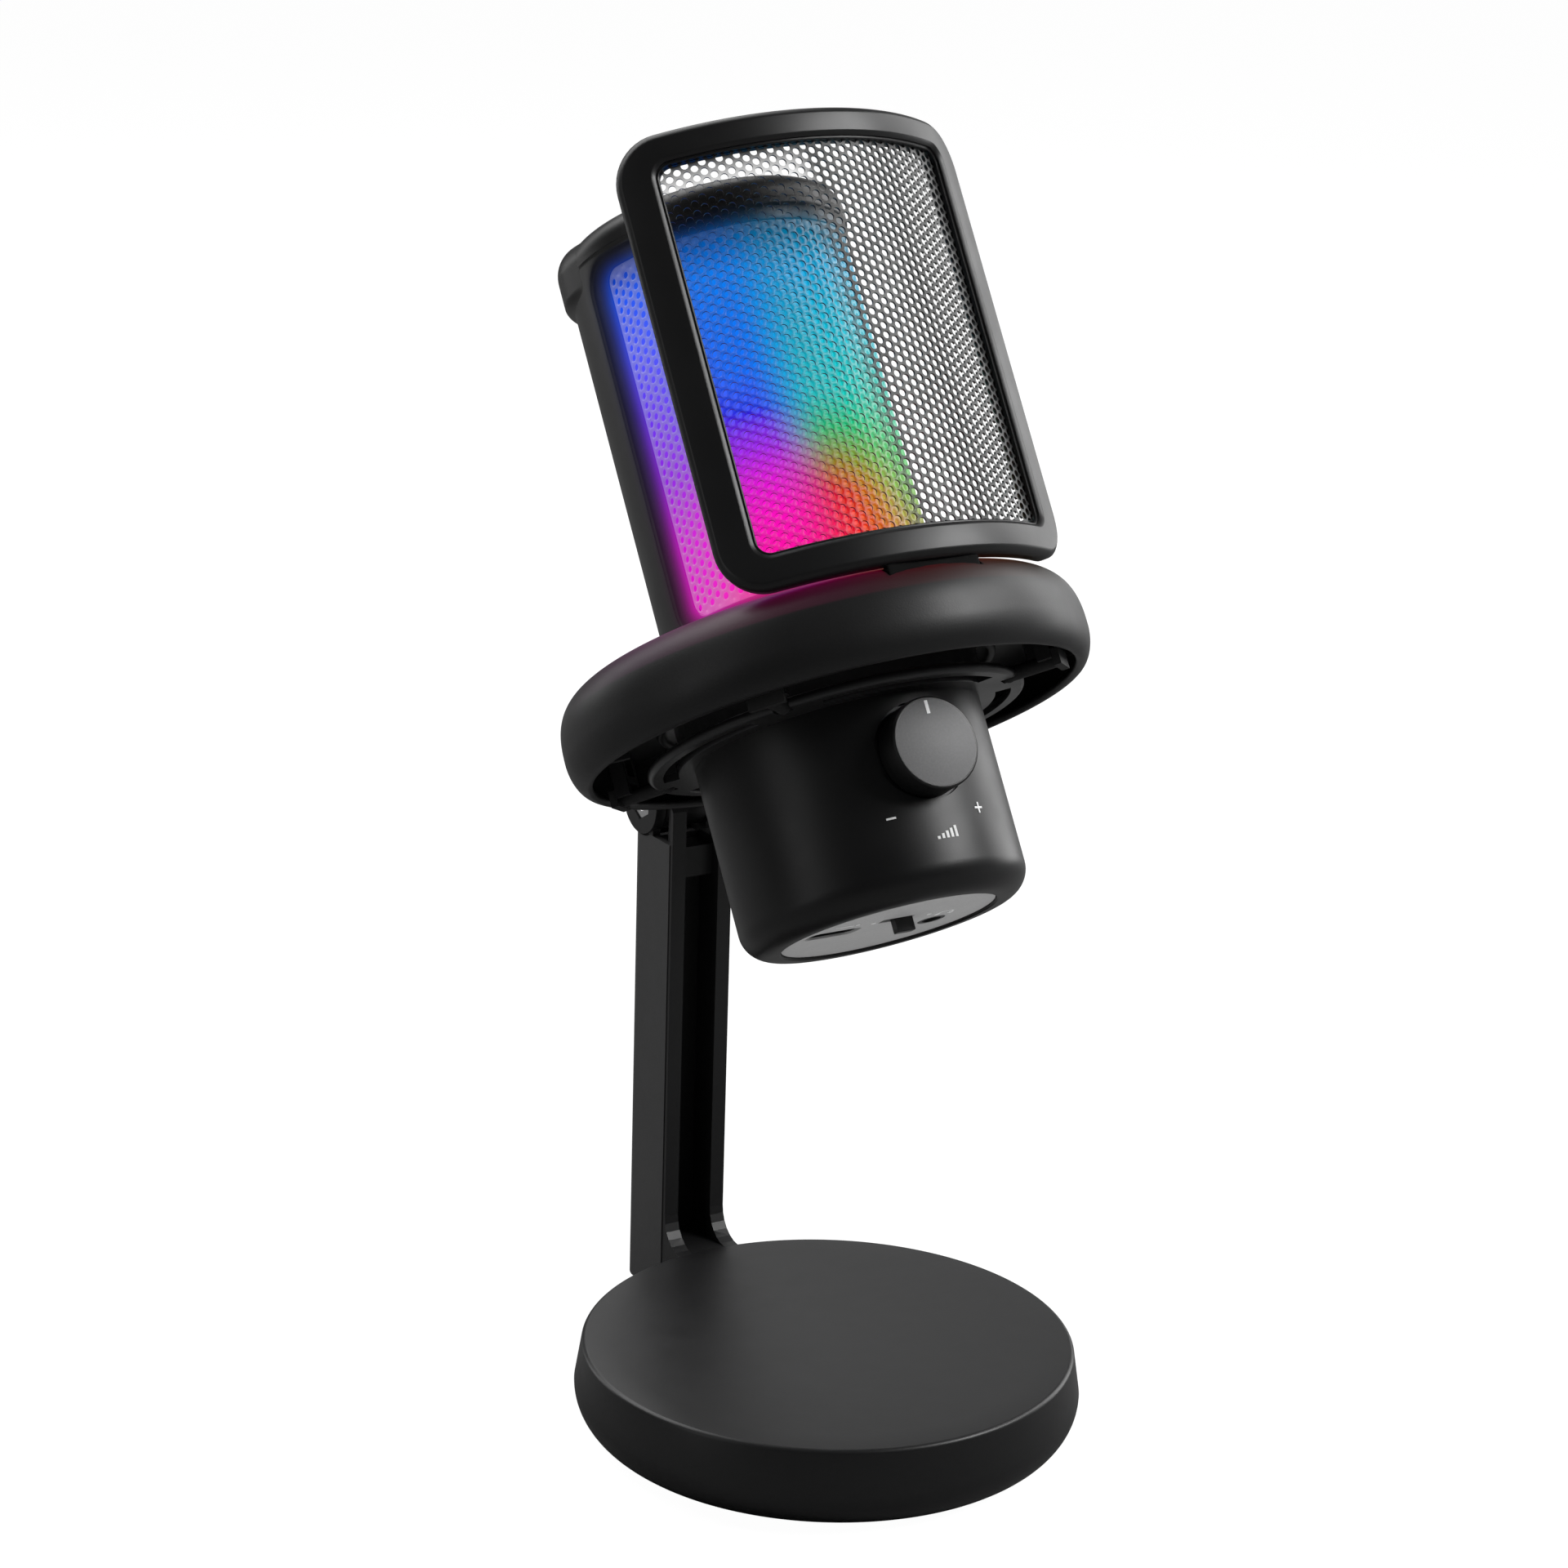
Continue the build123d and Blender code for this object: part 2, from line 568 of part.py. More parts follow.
def on_wall(angle, height, width, tall):
    """Thin printed bar lying on the round wall."""
    bar = block(-width / 2, width / 2, -mic_radius - 1, -mic_radius + 1, height - tall / 2, height + tall / 2)
    skin = tube(mic_radius + 0.08, mic_radius, height - 4, height + 4)
    return (Rot(0, 0, angle) * bar) & skin


marks = [on_wall(-20, -22.2, 1.7, 0.34)]
marks.append(on_wall(19.4, -22.6, 1.9, 0.34) + on_wall(19.4, -22.6, 0.34, 1.9))
for k in range(5):
    tall = 0.5 + 0.36 * k
    marks.append(on_wall(0.6 + 2.0 * (k - 2), -27.2 + tall / 2, 0.5, tall))
save("dial_marks", in_head(Compound(children=[s for m in marks for s in m.solids()])))

plate_face = -mic_below_rim + port_plate_recess
plate_back = plate_face + port_plate_thickness
usb_hole = extrude(RectangleRounded(usb_width + 2 * usb_opening_margin, usb_height + 2 * usb_opening_margin,
                                    usb_height / 2), 4, both=True)
port_plate = post(port_plate_radius - 0.1, plate_face, plate_back)
port_plate -= Pos(usb_x, 0, plate_face) * usb_hole
port_plate -= post(jack_collar, -60, 0, jack_x, jack_y)
slot_low = switch_x - 1.8 - switch_travel - 0.3
port_plate -= block(slot_low, switch_x + 2.1, switch_y - 1.1, switch_y + 1.1, -60, 0)
save("port_plate", in_head(port_plate))

port_board = block(-15.6, 14.6, -9.0, 9.0, plate_back + 3.4, plate_back + 5.0)
usb_shell = extrude(RectangleRounded(usb_width, usb_height, usb_height / 2 - 0.02), 7.3)
usb_inside = extrude(RectangleRounded(usb_width - 0.6, usb_height - 0.6, usb_height / 2 - 0.32), 6.3)
usb_tongue = Box(6.7, 0.7, 5.4)
usb = Pos(usb_x, 0, plate_face + 0.3) * (usb_shell - usb_inside)
usb += Pos(usb_x, 0, plate_face + 0.3 + 3.9) * usb_tongue
jack = block(jack_x - 3.0, jack_x + 3.0, jack_y - 3.0, jack_y + 3.0, plate_back, plate_back + jack_length)
jack += post(jack_collar - 0.02, plate_face, plate_back + 0.1, jack_x, jack_y)
jack -= post(jack_bore, plate_face - 1, plate_face + jack_length + 0.6, jack_x, jack_y)
switch_body = block(-4.6, 4.9, switch_y - 1.9, switch_y + 1.9, plate_back + 0.9, plate_back + 3.4)
switch_front = switch_y - 0.8
switch_rear = switch_y + 0.8
switch_body -= block(slot_low, switch_x + 2.1, switch_front, switch_rear, plate_back - 1, plate_back + 2.6)
slider = block(switch_x - 1.8, switch_x + 1.8, switch_front, switch_rear, plate_face - 2.4, plate_back + 0.5)
slider += block(switch_x - 1.2, switch_x + 1.2, switch_front + 0.3, switch_rear - 0.3,
                plate_back + 0.4, plate_back + 2.3)
port_board -= Pos(usb_x, 0, plate_face + 0.3) * usb_shell
for piece in (jack, switch_body):
    port_board -= piece
port_board -= post(jack_bore + 0.1, -60, 0, jack_x, jack_y)
port_board -= block(-18, 18, -14.1, -9.2, -60, 0)
bridge = block(-12, 12, -12.4, -9.0, plate_back + 3.6, plate_back + 4.8)
save("port_board", in_head(port_board))
save("board_connector", in_head(bridge))
save("usb_c_socket", in_head(usb))
save("headphone_jack", in_head(jack))
save("mode_switch_body", in_head(switch_body))
save("mode_switch", in_head(slider))

ink = plate_face - 0.08
port_marks = [block(usb_x - 2.2, usb_x + 1.4, -5.4, -5.1, ink, plate_face)]
port_marks.append(block(usb_x + 1.9, usb_x + 2.6, -5.6, -4.9, ink, plate_face))
for x in (-5.6, 5.6):
    port_marks.append(post(0.45, ink, plate_face, switch_x + x, switch_y))
arc = tube(1.5, 1.2, ink, plate_face) & block(-3, 3, -3, 0.2, -60, 0)
port_marks.append(Pos(jack_x, jack_y - 5.2, 0) * arc)
for x in (-1.35, 1.35):
    ear = block(jack_x + x - 0.4, jack_x + x + 0.4, jack_y - 4.9, jack_y - 4.0, ink, plate_face)
    port_marks.append(ear)
save("port_marks", in_head(Compound(children=[s for m in port_marks for s in m.solids()])))

# ======================= Pop filter =======================

about_filter = Pos(0, filter_centre_y, 0)
front_outer = filter_radius
mesh_out = filter_radius - 1.7
mesh_in = mesh_out - filter_mesh_thickness
back_inner = filter_radius - filter_thickness
outline = upright_panel(filter_half_width, filter_low, filter_high, filter_corner, 90)
opening_low = filter_low + filter_bar
opening_high = filter_high - filter_bar
opening = upright_panel(filter_half_width - filter_side_bar, opening_low, opening_high, 3.0, 90)
edge_cover = 2.4
mesh_outline = upright_panel(filter_half_width - edge_cover, filter_low + edge_cover,
                             filter_high - edge_cover, filter_corner - edge_cover, 90)
front_frame = ((about_filter * tube(front_outer, mesh_out, 0, 110)) & outline) - opening
filter_mesh = (about_filter * tube(mesh_out, mesh_in, 0, 110)) & mesh_outline
rear_frame = ((about_filter * tube(mesh_in, back_inner, 0, 110)) & outline) - opening
rear_frame += ((about_filter * tube(mesh_out, mesh_in, 0, 110)) & outline) - mesh_outline
tab = block(-filter_tab_half, filter_tab_half, tab_front, tab_back, tab_low, filter_low + 2.0)
rear_frame += tab - front_frame - filter_mesh
save("filter_front_frame", in_head(front_frame))
save("filter_mesh", in_head(filter_mesh))
save("filter_rear_frame", in_head(rear_frame))
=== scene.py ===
import json
import bpy
import bmesh
import numpy as np
from math import asin, cos, pi, radians, sin
from mathutils import Matrix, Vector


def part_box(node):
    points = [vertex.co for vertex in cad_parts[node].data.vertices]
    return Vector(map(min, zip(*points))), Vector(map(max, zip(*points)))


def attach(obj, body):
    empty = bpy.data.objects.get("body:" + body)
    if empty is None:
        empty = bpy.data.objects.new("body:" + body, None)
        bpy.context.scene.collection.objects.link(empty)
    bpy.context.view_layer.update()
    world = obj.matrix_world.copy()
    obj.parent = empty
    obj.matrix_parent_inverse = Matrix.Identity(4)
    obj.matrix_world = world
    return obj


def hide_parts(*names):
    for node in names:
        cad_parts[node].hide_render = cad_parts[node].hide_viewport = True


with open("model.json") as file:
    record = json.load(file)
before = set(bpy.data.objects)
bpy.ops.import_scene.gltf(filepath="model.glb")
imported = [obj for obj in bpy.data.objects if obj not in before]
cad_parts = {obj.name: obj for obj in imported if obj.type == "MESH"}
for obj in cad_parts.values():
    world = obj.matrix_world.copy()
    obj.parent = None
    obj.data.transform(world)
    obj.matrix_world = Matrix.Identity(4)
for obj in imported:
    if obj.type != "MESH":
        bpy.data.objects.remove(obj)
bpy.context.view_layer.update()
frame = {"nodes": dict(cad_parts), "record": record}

nodes = frame["nodes"]

# ----------------------------------------------------------------
# Base cover. A thick round foot moulded in black plastic, flat on top with a crisp edge, the wall
# leaning out a little and rolling under in a large round. Fine moulded grain over a satin surface.
# ----------------------------------------------------------------
base_low, base_high = [c * 1000 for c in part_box("base_shell")]
base_radius = (base_high[0] - base_low[0]) / 2
base_top = base_high[2]
base_bottom = base_low[2]
plate_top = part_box("base_plate")[1][2] * 1000
plate_gap, base_wall = 0.1, 2.2


def half_width(name):
    """Half of a node's size across, in millimetres."""
    low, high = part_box(name)
    return (high[0] - low[0]) * 500


def grid_faces(rows, cols, wrap_rows=False, wrap_cols=False):
    """Four-sided faces of a grid of rows by cols points. A wrapped side joins its last line to its first."""
    i = np.arange(rows if wrap_rows else rows - 1)[:, None]
    j = np.arange(cols if wrap_cols else cols - 1)[None, :]
    i2, j2 = (i + 1) % rows, (j + 1) % cols
    corners = (i * cols + j, i * cols + j2, i2 * cols + j2, i2 * cols + j)
    return np.stack(corners, -1).reshape(-1, 4)


def make_piece(name, points, faces, body, sharp=35, outward=True, wrap=None, spill=None):
    """Mesh from points in millimetres and four-sided faces. Points closer than 1 micrometre become one, so
    poles and seams close, and normals are turned outwards. wrap is a second set of coordinates kept as a UV
    map, and spill is a share kept on each point: how strongly the lamp's painted glow shows there, and on the
    filter screen how far its wires let the light through."""
    mesh = bpy.data.meshes.new(name)
    flat = np.asarray(points, dtype=np.float64).reshape(-1, 3) / 1000
    mesh.from_pydata(flat.tolist(), [], np.asarray(faces).tolist())
    if wrap is not None:
        layer = mesh.uv_layers.new(name="wrap")
        loops = np.empty(len(mesh.loops), dtype=np.int32)
        mesh.loops.foreach_get("vertex_index", loops)
        layer.data.foreach_set("uv", np.asarray(wrap, dtype=np.float32).reshape(-1, 2)[loops].ravel())
    if spill is not None:
        layer = mesh.attributes.new("spill", "FLOAT", "POINT")
        layer.data.foreach_set("value", np.asarray(spill, dtype=np.float32).ravel())
    edit = bmesh.new()
    edit.from_mesh(mesh)
    bmesh.ops.remove_doubles(edit, verts=edit.verts, dist=1e-6)
    bmesh.ops.dissolve_degenerate(edit, dist=1e-7, edges=edit.edges)
    if outward:
        bmesh.ops.recalc_face_normals(edit, faces=edit.faces)
    edit.to_mesh(mesh)
    edit.free()
    mesh.polygons.foreach_set("use_smooth", np.ones(len(mesh.polygons), dtype=bool))
    mesh.set_sharp_from_angle(angle=radians(sharp))
    piece = bpy.data.objects.new(name, mesh)
    bpy.context.collection.objects.link(piece)
    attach(piece, body)
    return piece


def turned(profile, steps=160, centre=(0, 0, 0), across=(1, 0, 0), along=(0, 1, 0), axis=(0, 0, 1)):
    """Surface turned about an axis: the point at (radius r, height h) and angle a is
    centre + r cos(a) across + r sin(a) along + h axis."""
    profile = np.asarray(profile, dtype=float)
    angle = np.linspace(0, 2 * pi, steps, endpoint=False)
    ring = np.cos(angle)[:, None] * np.asarray(across) + np.sin(angle)[:, None] * np.asarray(along)
    points = np.asarray(centre) + profile[:, 0, None, None] * ring[None]
    points = points + profile[:, 1, None, None] * np.asarray(axis)
    return points, grid_faces(len(profile), steps, wrap_cols=True)


def rounded(corner_from, corner, corner_to, radius, steps=6):
    """Points of the circular arc that rounds a corner between two straight lines."""
    a, c, b = (np.asarray(p, dtype=float) for p in (corner_from, corner, corner_to))
    u, v = (a - c) / np.linalg.norm(a - c), (b - c) / np.linalg.norm(b - c)
    half = np.arccos(np.clip(u @ v, -1, 1)) / 2
    middle = c + (u + v) / np.linalg.norm(u + v) * radius / sin(half)
    start, end = c + u * radius / np.tan(half) - middle, c + v * radius / np.tan(half) - middle
    turn = np.arctan2(start[0] * end[1] - start[1] * end[0], start @ end)
    angle = np.linspace(0, turn, steps + 1)[:, None]
    return middle + np.cos(angle) * start + np.sin(angle) * np.array([-start[1], start[0]])


def maths(node, operation, *values):
    """Node for one sum; the values fill its inputs from the second on."""
    step = node.new("ShaderNodeMath")
    step.operation = operation
    for k, value in enumerate(values):
        step.inputs[k + 1].default_value = value
    return step


def map_range(node, from_min, from_max, to_min=0.0, to_max=1.0):
    """Node that carries one range of values onto another."""
    step = node.new("ShaderNodeMapRange")
    ends = {"From Min": from_min, "From Max": from_max, "To Min": to_min, "To Max": to_max}
    for name, value in ends.items():
        step.inputs[name].default_value = value
    return step


def grain_group():
    """Moulded surface: cell noise for the sparkle of the mould's texture, and a slow cloud that tells handled
    places from clean ones. Sizes are in cells per metre of Object coordinates."""
    group = bpy.data.node_groups.new("moulded_grain", "ShaderNodeTree")
    face = group.interface
    face.new_socket("Cells", in_out="INPUT", socket_type="NodeSocketFloat").default_value = 3200
    face.new_socket("Drift", in_out="INPUT", socket_type="NodeSocketFloat").default_value = 90
    face.new_socket("Height", in_out="OUTPUT", socket_type="NodeSocketFloat")
    face.new_socket("Speckle", in_out="OUTPUT", socket_type="NodeSocketFloat")
    face.new_socket("Handling", in_out="OUTPUT", socket_type="NodeSocketFloat")
    node, link = group.nodes, group.links
    ins, outs = node.new("NodeGroupInput"), node.new("NodeGroupOutput")
    place = node.new("ShaderNodeTexCoord")
    cells = node.new("ShaderNodeTexNoise")
    cells.inputs["Detail"].default_value = 2.0
    cells.inputs["Roughness"].default_value = 0.6
    pits = node.new("ShaderNodeTexVoronoi")
    pits.feature = "F1"
    cloud = node.new("ShaderNodeTexNoise")
    cloud.inputs["Detail"].default_value = 4.0
    mix = maths(node, "MULTIPLY_ADD", 0.5)
    spread = map_range(node, 0.35, 0.68)
    for texture in (cells, pits, cloud):
        link.new(place.outputs["Object"], texture.inputs["Vector"])
    link.new(ins.outputs["Cells"], cells.inputs["Scale"])
    link.new(ins.outputs["Cells"], pits.inputs["Scale"])
    link.new(ins.outputs["Drift"], cloud.inputs["Scale"])
    link.new(pits.outputs["Distance"], mix.inputs[0])
    link.new(cells.outputs["Fac"], mix.inputs[2])
    link.new(cloud.outputs["Fac"], spread.inputs["Value"])
    link.new(mix.outputs["Value"], outs.inputs["Height"])
    link.new(cells.outputs["Fac"], outs.inputs["Speckle"])
    link.new(spread.outputs["Result"], outs.inputs["Handling"])
    return group


moulded_grain = grain_group()


def moulded(name, dark, light, rough=(0.36, 0.46), cells=3200.0, drift=90.0, depth=0.012, specular=0.4,
            metal=0.0):
    """Moulded or coated surface: its colour drifts between two tones with the speckle, and its roughness with
    handling. depth is the height of the grain in millimetres."""
    material = bpy.data.materials.new(name)
    material.use_nodes = True
    node, link = material.node_tree.nodes, material.node_tree.links
    shader = node["Principled BSDF"]
    shader.inputs["Specular IOR Level"].default_value = specular
    shader.inputs["Metallic"].default_value = metal
    grain = node.new("ShaderNodeGroup")
    grain.node_tree = moulded_grain
    grain.inputs["Cells"].default_value = cells
    grain.inputs["Drift"].default_value = drift
    tone = node.new("ShaderNodeMix")
    tone.data_type = "RGBA"
    tone.inputs[6].default_value = (*dark, 1)
    tone.inputs[7].default_value = (*light, 1)
    gloss = map_range(node, 0, 1, *rough)
    bump = node.new("ShaderNodeBump")
    bump.inputs["Strength"].default_value = 0.35
    bump.inputs["Distance"].default_value = depth / 1000
    link.new(grain.outputs["Speckle"], tone.inputs[0])
    link.new(grain.outputs["Handling"], gloss.inputs["Value"])
    link.new(grain.outputs["Height"], bump.inputs["Height"])
    link.new(tone.outputs[2], shader.inputs["Base Color"])
    link.new(gloss.outputs["Result"], shader.inputs["Roughness"])
    link.new(bump.outputs["Normal"], shader.inputs["Normal"])
    return material


def finish_with(piece, material, thick=0.0):
    """Gives a piece its only material and, where asked, a wall thickness in millimetres."""
    piece.data.materials.clear()
    piece.data.materials.append(material)
    if thick:
        wall = piece.modifiers.new("wall", "SOLIDIFY")
        wall.thickness = thick / 1000
        wall.offset = -1


satin_black = moulded("satin_black", (0.006, 0.006, 0.0063), (0.0105, 0.0105, 0.011), (0.37, 0.42))

# The outline runs from the middle of the top over the edge, down the wall and round the roll, in at the lip
# that holds the plate, and back up inside the wall.
top_r, shoulder, roll, top_edge = base_radius - 1.3, 8.0, 8.0, 0.9
outer = [(0, base_top), (top_r - 6, base_top)]
outer += list(rounded((top_r - 6, base_top), (top_r, base_top), (base_radius, shoulder), top_edge, 8))
angle = np.linspace(0, pi / 2, 17)
curve = np.stack([base_radius - roll + roll * np.cos(angle), shoulder - roll * np.sin(angle)], 1)
outer += [tuple(p) for p in curve if p[1] > base_bottom + 0.02]
lip_r = half_width("base_plate") + plate_gap
lip = [(lip_r + 1.5, base_bottom), (lip_r, base_bottom), (lip_r, plate_top)]
inner = [(base_radius - 8, plate_top + 0.6), (base_radius - 3.4, plate_top + 3)]
inner += [(base_radius - 2.4, shoulder), (top_r - 2.4, base_top - base_wall), (0, base_top - base_wall)]
points, faces = turned(outer + lip + inner, 224)
cover = make_piece("base_cover", points, faces, "stand", sharp=50)
finish_with(cover, satin_black)
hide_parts("base_shell")

# ----------------------------------------------------------------
# Under the base: a flat moulded plate, three black screws, steel ballast inside, and a ring of soft
# rubber pressed into the plate that keeps the stand from sliding.
# ----------------------------------------------------------------
foot_outer = half_width("rubber_foot")
foot_inner, foot_high, foot_edge = foot_outer - 7.5, 1.0, 0.35


def welded(name, material, bevel=0.0, steps=2):
    """Keeps a node's own shape: its loose triangles are welded and its edges rounded."""
    piece = nodes[name]
    piece.data.materials.clear()
    piece.data.materials.append(material)
    weld = piece.modifiers.new("weld", "WELD")
    weld.merge_threshold = 0.000004
    if bevel:
        edge = piece.modifiers.new("edge", "BEVEL")
        edge.width = bevel / 1000
        edge.segments = steps
        edge.limit_method = "ANGLE"
        edge.angle_limit = radians(32)
        edge.use_clamp_overlap = True
        edge.harden_normals = True


soft_rubber = moulded("soft_rubber", (0.012, 0.012, 0.012), (0.02, 0.02, 0.02), (0.7, 0.85),
                      1500.0, 120.0, 0.03, 0.25)
black_screw = moulded("black_screw", (0.02, 0.02, 0.021), (0.035, 0.035, 0.036), (0.3, 0.42),
                      5000.0, 300.0, 0.006, 0.5, 0.8)
ballast_steel = moulded("ballast_steel", (0.3, 0.3, 0.3), (0.42, 0.42, 0.41), (0.38, 0.55),
                        2600.0, 60.0, 0.02, 0.5, 1.0)
welded("base_plate", satin_black, 0.2)
welded("base_weight", ballast_steel, 0.3)
welded("base_screws", black_screw, 0.1)
welded("arm_foot_screws", black_screw, 0.1)
section = [(foot_inner, foot_high), (foot_inner, foot_edge), (foot_inner + foot_edge, 0.0)]
section += [(foot_outer - foot_edge, 0.0), (foot_outer, foot_edge), (foot_outer, foot_high)]
section += [(foot_inner, foot_high)]
points, faces = turned(section, 128)
foot = make_piece("rubber_ring_foot", points, faces, "stand", sharp=60)
finish_with(foot, soft_rubber)
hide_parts("rubber_foot")

# ----------------------------------------------------------------
# Arm. A black upright with two front lips either side of a deep groove, whose lips sweep forward
# onto the base, and two round cheeks at the top. A grey U-shaped cover wraps its sides and back.
# ----------------------------------------------------------------
arm_black = moulded("arm_black", (0.006, 0.006, 0.0063), (0.0105, 0.0105, 0.011), (0.4, 0.46), 2800.0)
arm_grey = moulded("arm_grey", (0.03, 0.03, 0.0305), (0.042, 0.042, 0.0425), (0.42, 0.54), 2800.0, 70.0)
welded("arm_spine", arm_black, 0.3, 3)
welded("arm_cover", arm_grey, 0.35, 3)

# ----------------------------------------------------------------
# Hinge. A black socket bolt runs through both cheeks into a bright hexagonal nut held in the left
# one; thin washers either side of the knuckle give the friction that holds the head up.
# ----------------------------------------------------------------
bright_nut = moulded("bright_nut", (0.62, 0.62, 0.63), (0.8, 0.8, 0.8), (0.14, 0.26),
                     2000.0, 300.0, 0.004, 0.5, 1.0)
washer_nylon = moulded("washer_nylon", (0.45, 0.44, 0.41), (0.55, 0.54, 0.5), (0.4, 0.5), 2400.0)
welded("hinge_nut", bright_nut, 0.15)
welded("hinge_bolt", black_screw, 0.12)
welded("hinge_washers", washer_nylon)

# ----------------------------------------------------------------
# Ring. A hollow moulded doughnut, open underneath, that carries the microphone on rubber links and
# takes the pop filter's tab in a slot through its front. Its grain shows in the highlights.
# ----------------------------------------------------------------
joints = {j["name"]: j for j in frame["record"]["behaviour"]["joints"]}
mic_up = np.array(joints["filter_lift"]["axis"])
mic_front = np.array(joints["gain_turn"]["axis"])
mic_side = np.cross(mic_up, mic_front)
mic_radius = half_width("lower_housing")
knob_height = -11.75
rim_centre = np.array(joints["gain_turn"]["pos_m"]) * 1000 - mic_radius * mic_front - knob_height * mic_up


def in_head(points):
    """From the microphone's own upright place, its front towards -Y and heights from the ring's rim, to the
    frame's place."""
    p = np.asarray(points, dtype=float)
    return rim_centre + p[..., :1] * mic_side - p[..., 1:2] * mic_front + p[..., 2:3] * mic_up


def linear(red, green, blue):
    """Screen colour from 0 to 255 as linear light."""
    c = np.array([red, green, blue]) / 255
    return (*np.where(c <= 0.04045, c / 12.92, ((c + 0.055) / 1.055) ** 2.4).tolist(), 1.0)


def glow_group():
    """Colour of the light over the wrapped surface. The UV map "wrap" holds the turn about the axis as a
    share of a full turn from the back, and the height in tenths of a metre. Four columns, each at its angle
    from the front in degrees, hold colours at their heights and are blended across."""
    group = bpy.data.node_groups.new("body_light", "ShaderNodeTree")
    group.interface.new_socket("Colour", in_out="OUTPUT", socket_type="NodeSocketColor")
    node, link = group.nodes, group.links
    outs = node.new("NodeGroupOutput")
    wrap = node.new("ShaderNodeUVMap")
    wrap.uv_map = "wrap"
    split = node.new("ShaderNodeSeparateXYZ")
    link.new(wrap.outputs["UV"], split.inputs["Vector"])
    columns = (
        (-75, ((0.22, (210, 18, 175)), (0.34, (192, 20, 190)), (0.46, (135, 32, 200)), (0.58, (98, 50, 215)),
               (0.70, (62, 72, 225)), (0.80, (22, 75, 215)), (0.88, (4, 22, 70)))),
        (-30, ((0.22, (246, 5, 135)), (0.34, (238, 4, 178)), (0.40, (212, 15, 200)), (0.46, (150, 40, 220)),
               (0.53, (60, 78, 225)), (0.60, (14, 98, 226)), (0.78, (6, 110, 214)), (0.88, (0, 30, 60)))),
        (0, ((0.22, (225, 10, 40)), (0.29, (225, 14, 36)), (0.35, (212, 42, 28)), (0.41, (140, 122, 34)),
             (0.47, (50, 170, 105)), (0.54, (10, 175, 178)), (0.76, (6, 140, 195)), (0.88, (2, 50, 70)))),
        (35, ((0.22, (205, 110, 18)), (0.29, (165, 152, 28)), (0.36, (118, 185, 50)), (0.43, (60, 200, 95)),
              (0.52, (16, 200, 165)), (0.64, (10, 190, 205)), (0.78, (8, 165, 205)), (0.88, (2, 55, 75)))),
    )
    before = None
    for k, (place, stops) in enumerate(columns):
        ramp = node.new("ShaderNodeValToRGB")
        ramp.color_ramp.interpolation = "LINEAR"
        ramp.color_ramp.elements[0].position = stops[0][0]
        ramp.color_ramp.elements[0].color = linear(*stops[0][1])
        ramp.color_ramp.elements[1].position = stops[-1][0]
        ramp.color_ramp.elements[1].color = linear(*stops[-1][1])
        for spot, colour in stops[1:-1]:
            ramp.color_ramp.elements.new(spot).color = linear(*colour)
        link.new(split.outputs["Y"], ramp.inputs["Fac"])
        if before is None:
            before = (place, ramp.outputs["Color"])
            continue
        share = map_range(node, before[0] / 360 + 0.5, place / 360 + 0.5)
        share.interpolation_type = "SMOOTHSTEP" if k < 3 else "LINEAR"
        blend = node.new("ShaderNodeMix")
        blend.data_type = "RGBA"
        link.new(split.outputs["X"], share.inputs["Value"])
        link.new(share.outputs["Result"], blend.inputs[0])
        link.new(before[1], blend.inputs[6])
        link.new(ramp.outputs["Color"], blend.inputs[7])
        before = (place, blend.outputs[2])
    link.new(before[1], outs.inputs["Colour"])
    return group


body_light = glow_group()
# As shares of a full turn: where the middle of the front is, and how far from it the sides begin.
front_turn, middle_ends, sides_start = 0.455, 0.06, 0.13


def lit(material, strength, middle=1.0, sides=1.0, spill=False):
    """Adds the lamp's colour to a material as glow: on the light tube that is the lamp itself, on every other
    piece it is painted light from the lamp. Its saturation goes from one share in the middle of the front to
    another at the sides, and where asked it reaches only as far as the piece's "spill"."""
    node, link = material.node_tree.nodes, material.node_tree.links
    shader = node["Principled BSDF"]
    light = node.new("ShaderNodeGroup")
    light.node_tree = body_light
    wrap = node.new("ShaderNodeUVMap")
    wrap.uv_map = "wrap"
    split = node.new("ShaderNodeSeparateXYZ")
    off = maths(node, "SUBTRACT", front_turn)
    away = maths(node, "ABSOLUTE")
    pale = map_range(node, middle_ends, sides_start, middle, sides)
    pale.interpolation_type = "SMOOTHSTEP"
    tint = node.new("ShaderNodeHueSaturation")
    link.new(wrap.outputs["UV"], split.inputs["Vector"])
    link.new(split.outputs["X"], off.inputs[0])
    link.new(off.outputs["Value"], away.inputs[0])
    link.new(away.outputs["Value"], pale.inputs["Value"])
    link.new(pale.outputs["Result"], tint.inputs["Saturation"])
    link.new(light.outputs["Colour"], tint.inputs["Color"])
    link.new(tint.outputs["Color"], shader.inputs["Emission Color"])
    shader.inputs["Emission Strength"].default_value = strength
    if spill:
        reach = node.new("ShaderNodeAttribute")
        reach.attribute_name = "spill"
        power = maths(node, "MULTIPLY", strength)
        link.new(reach.outputs["Fac"], power.inputs[0])
        link.new(power.outputs["Value"], shader.inputs["Emission Strength"])
    return material


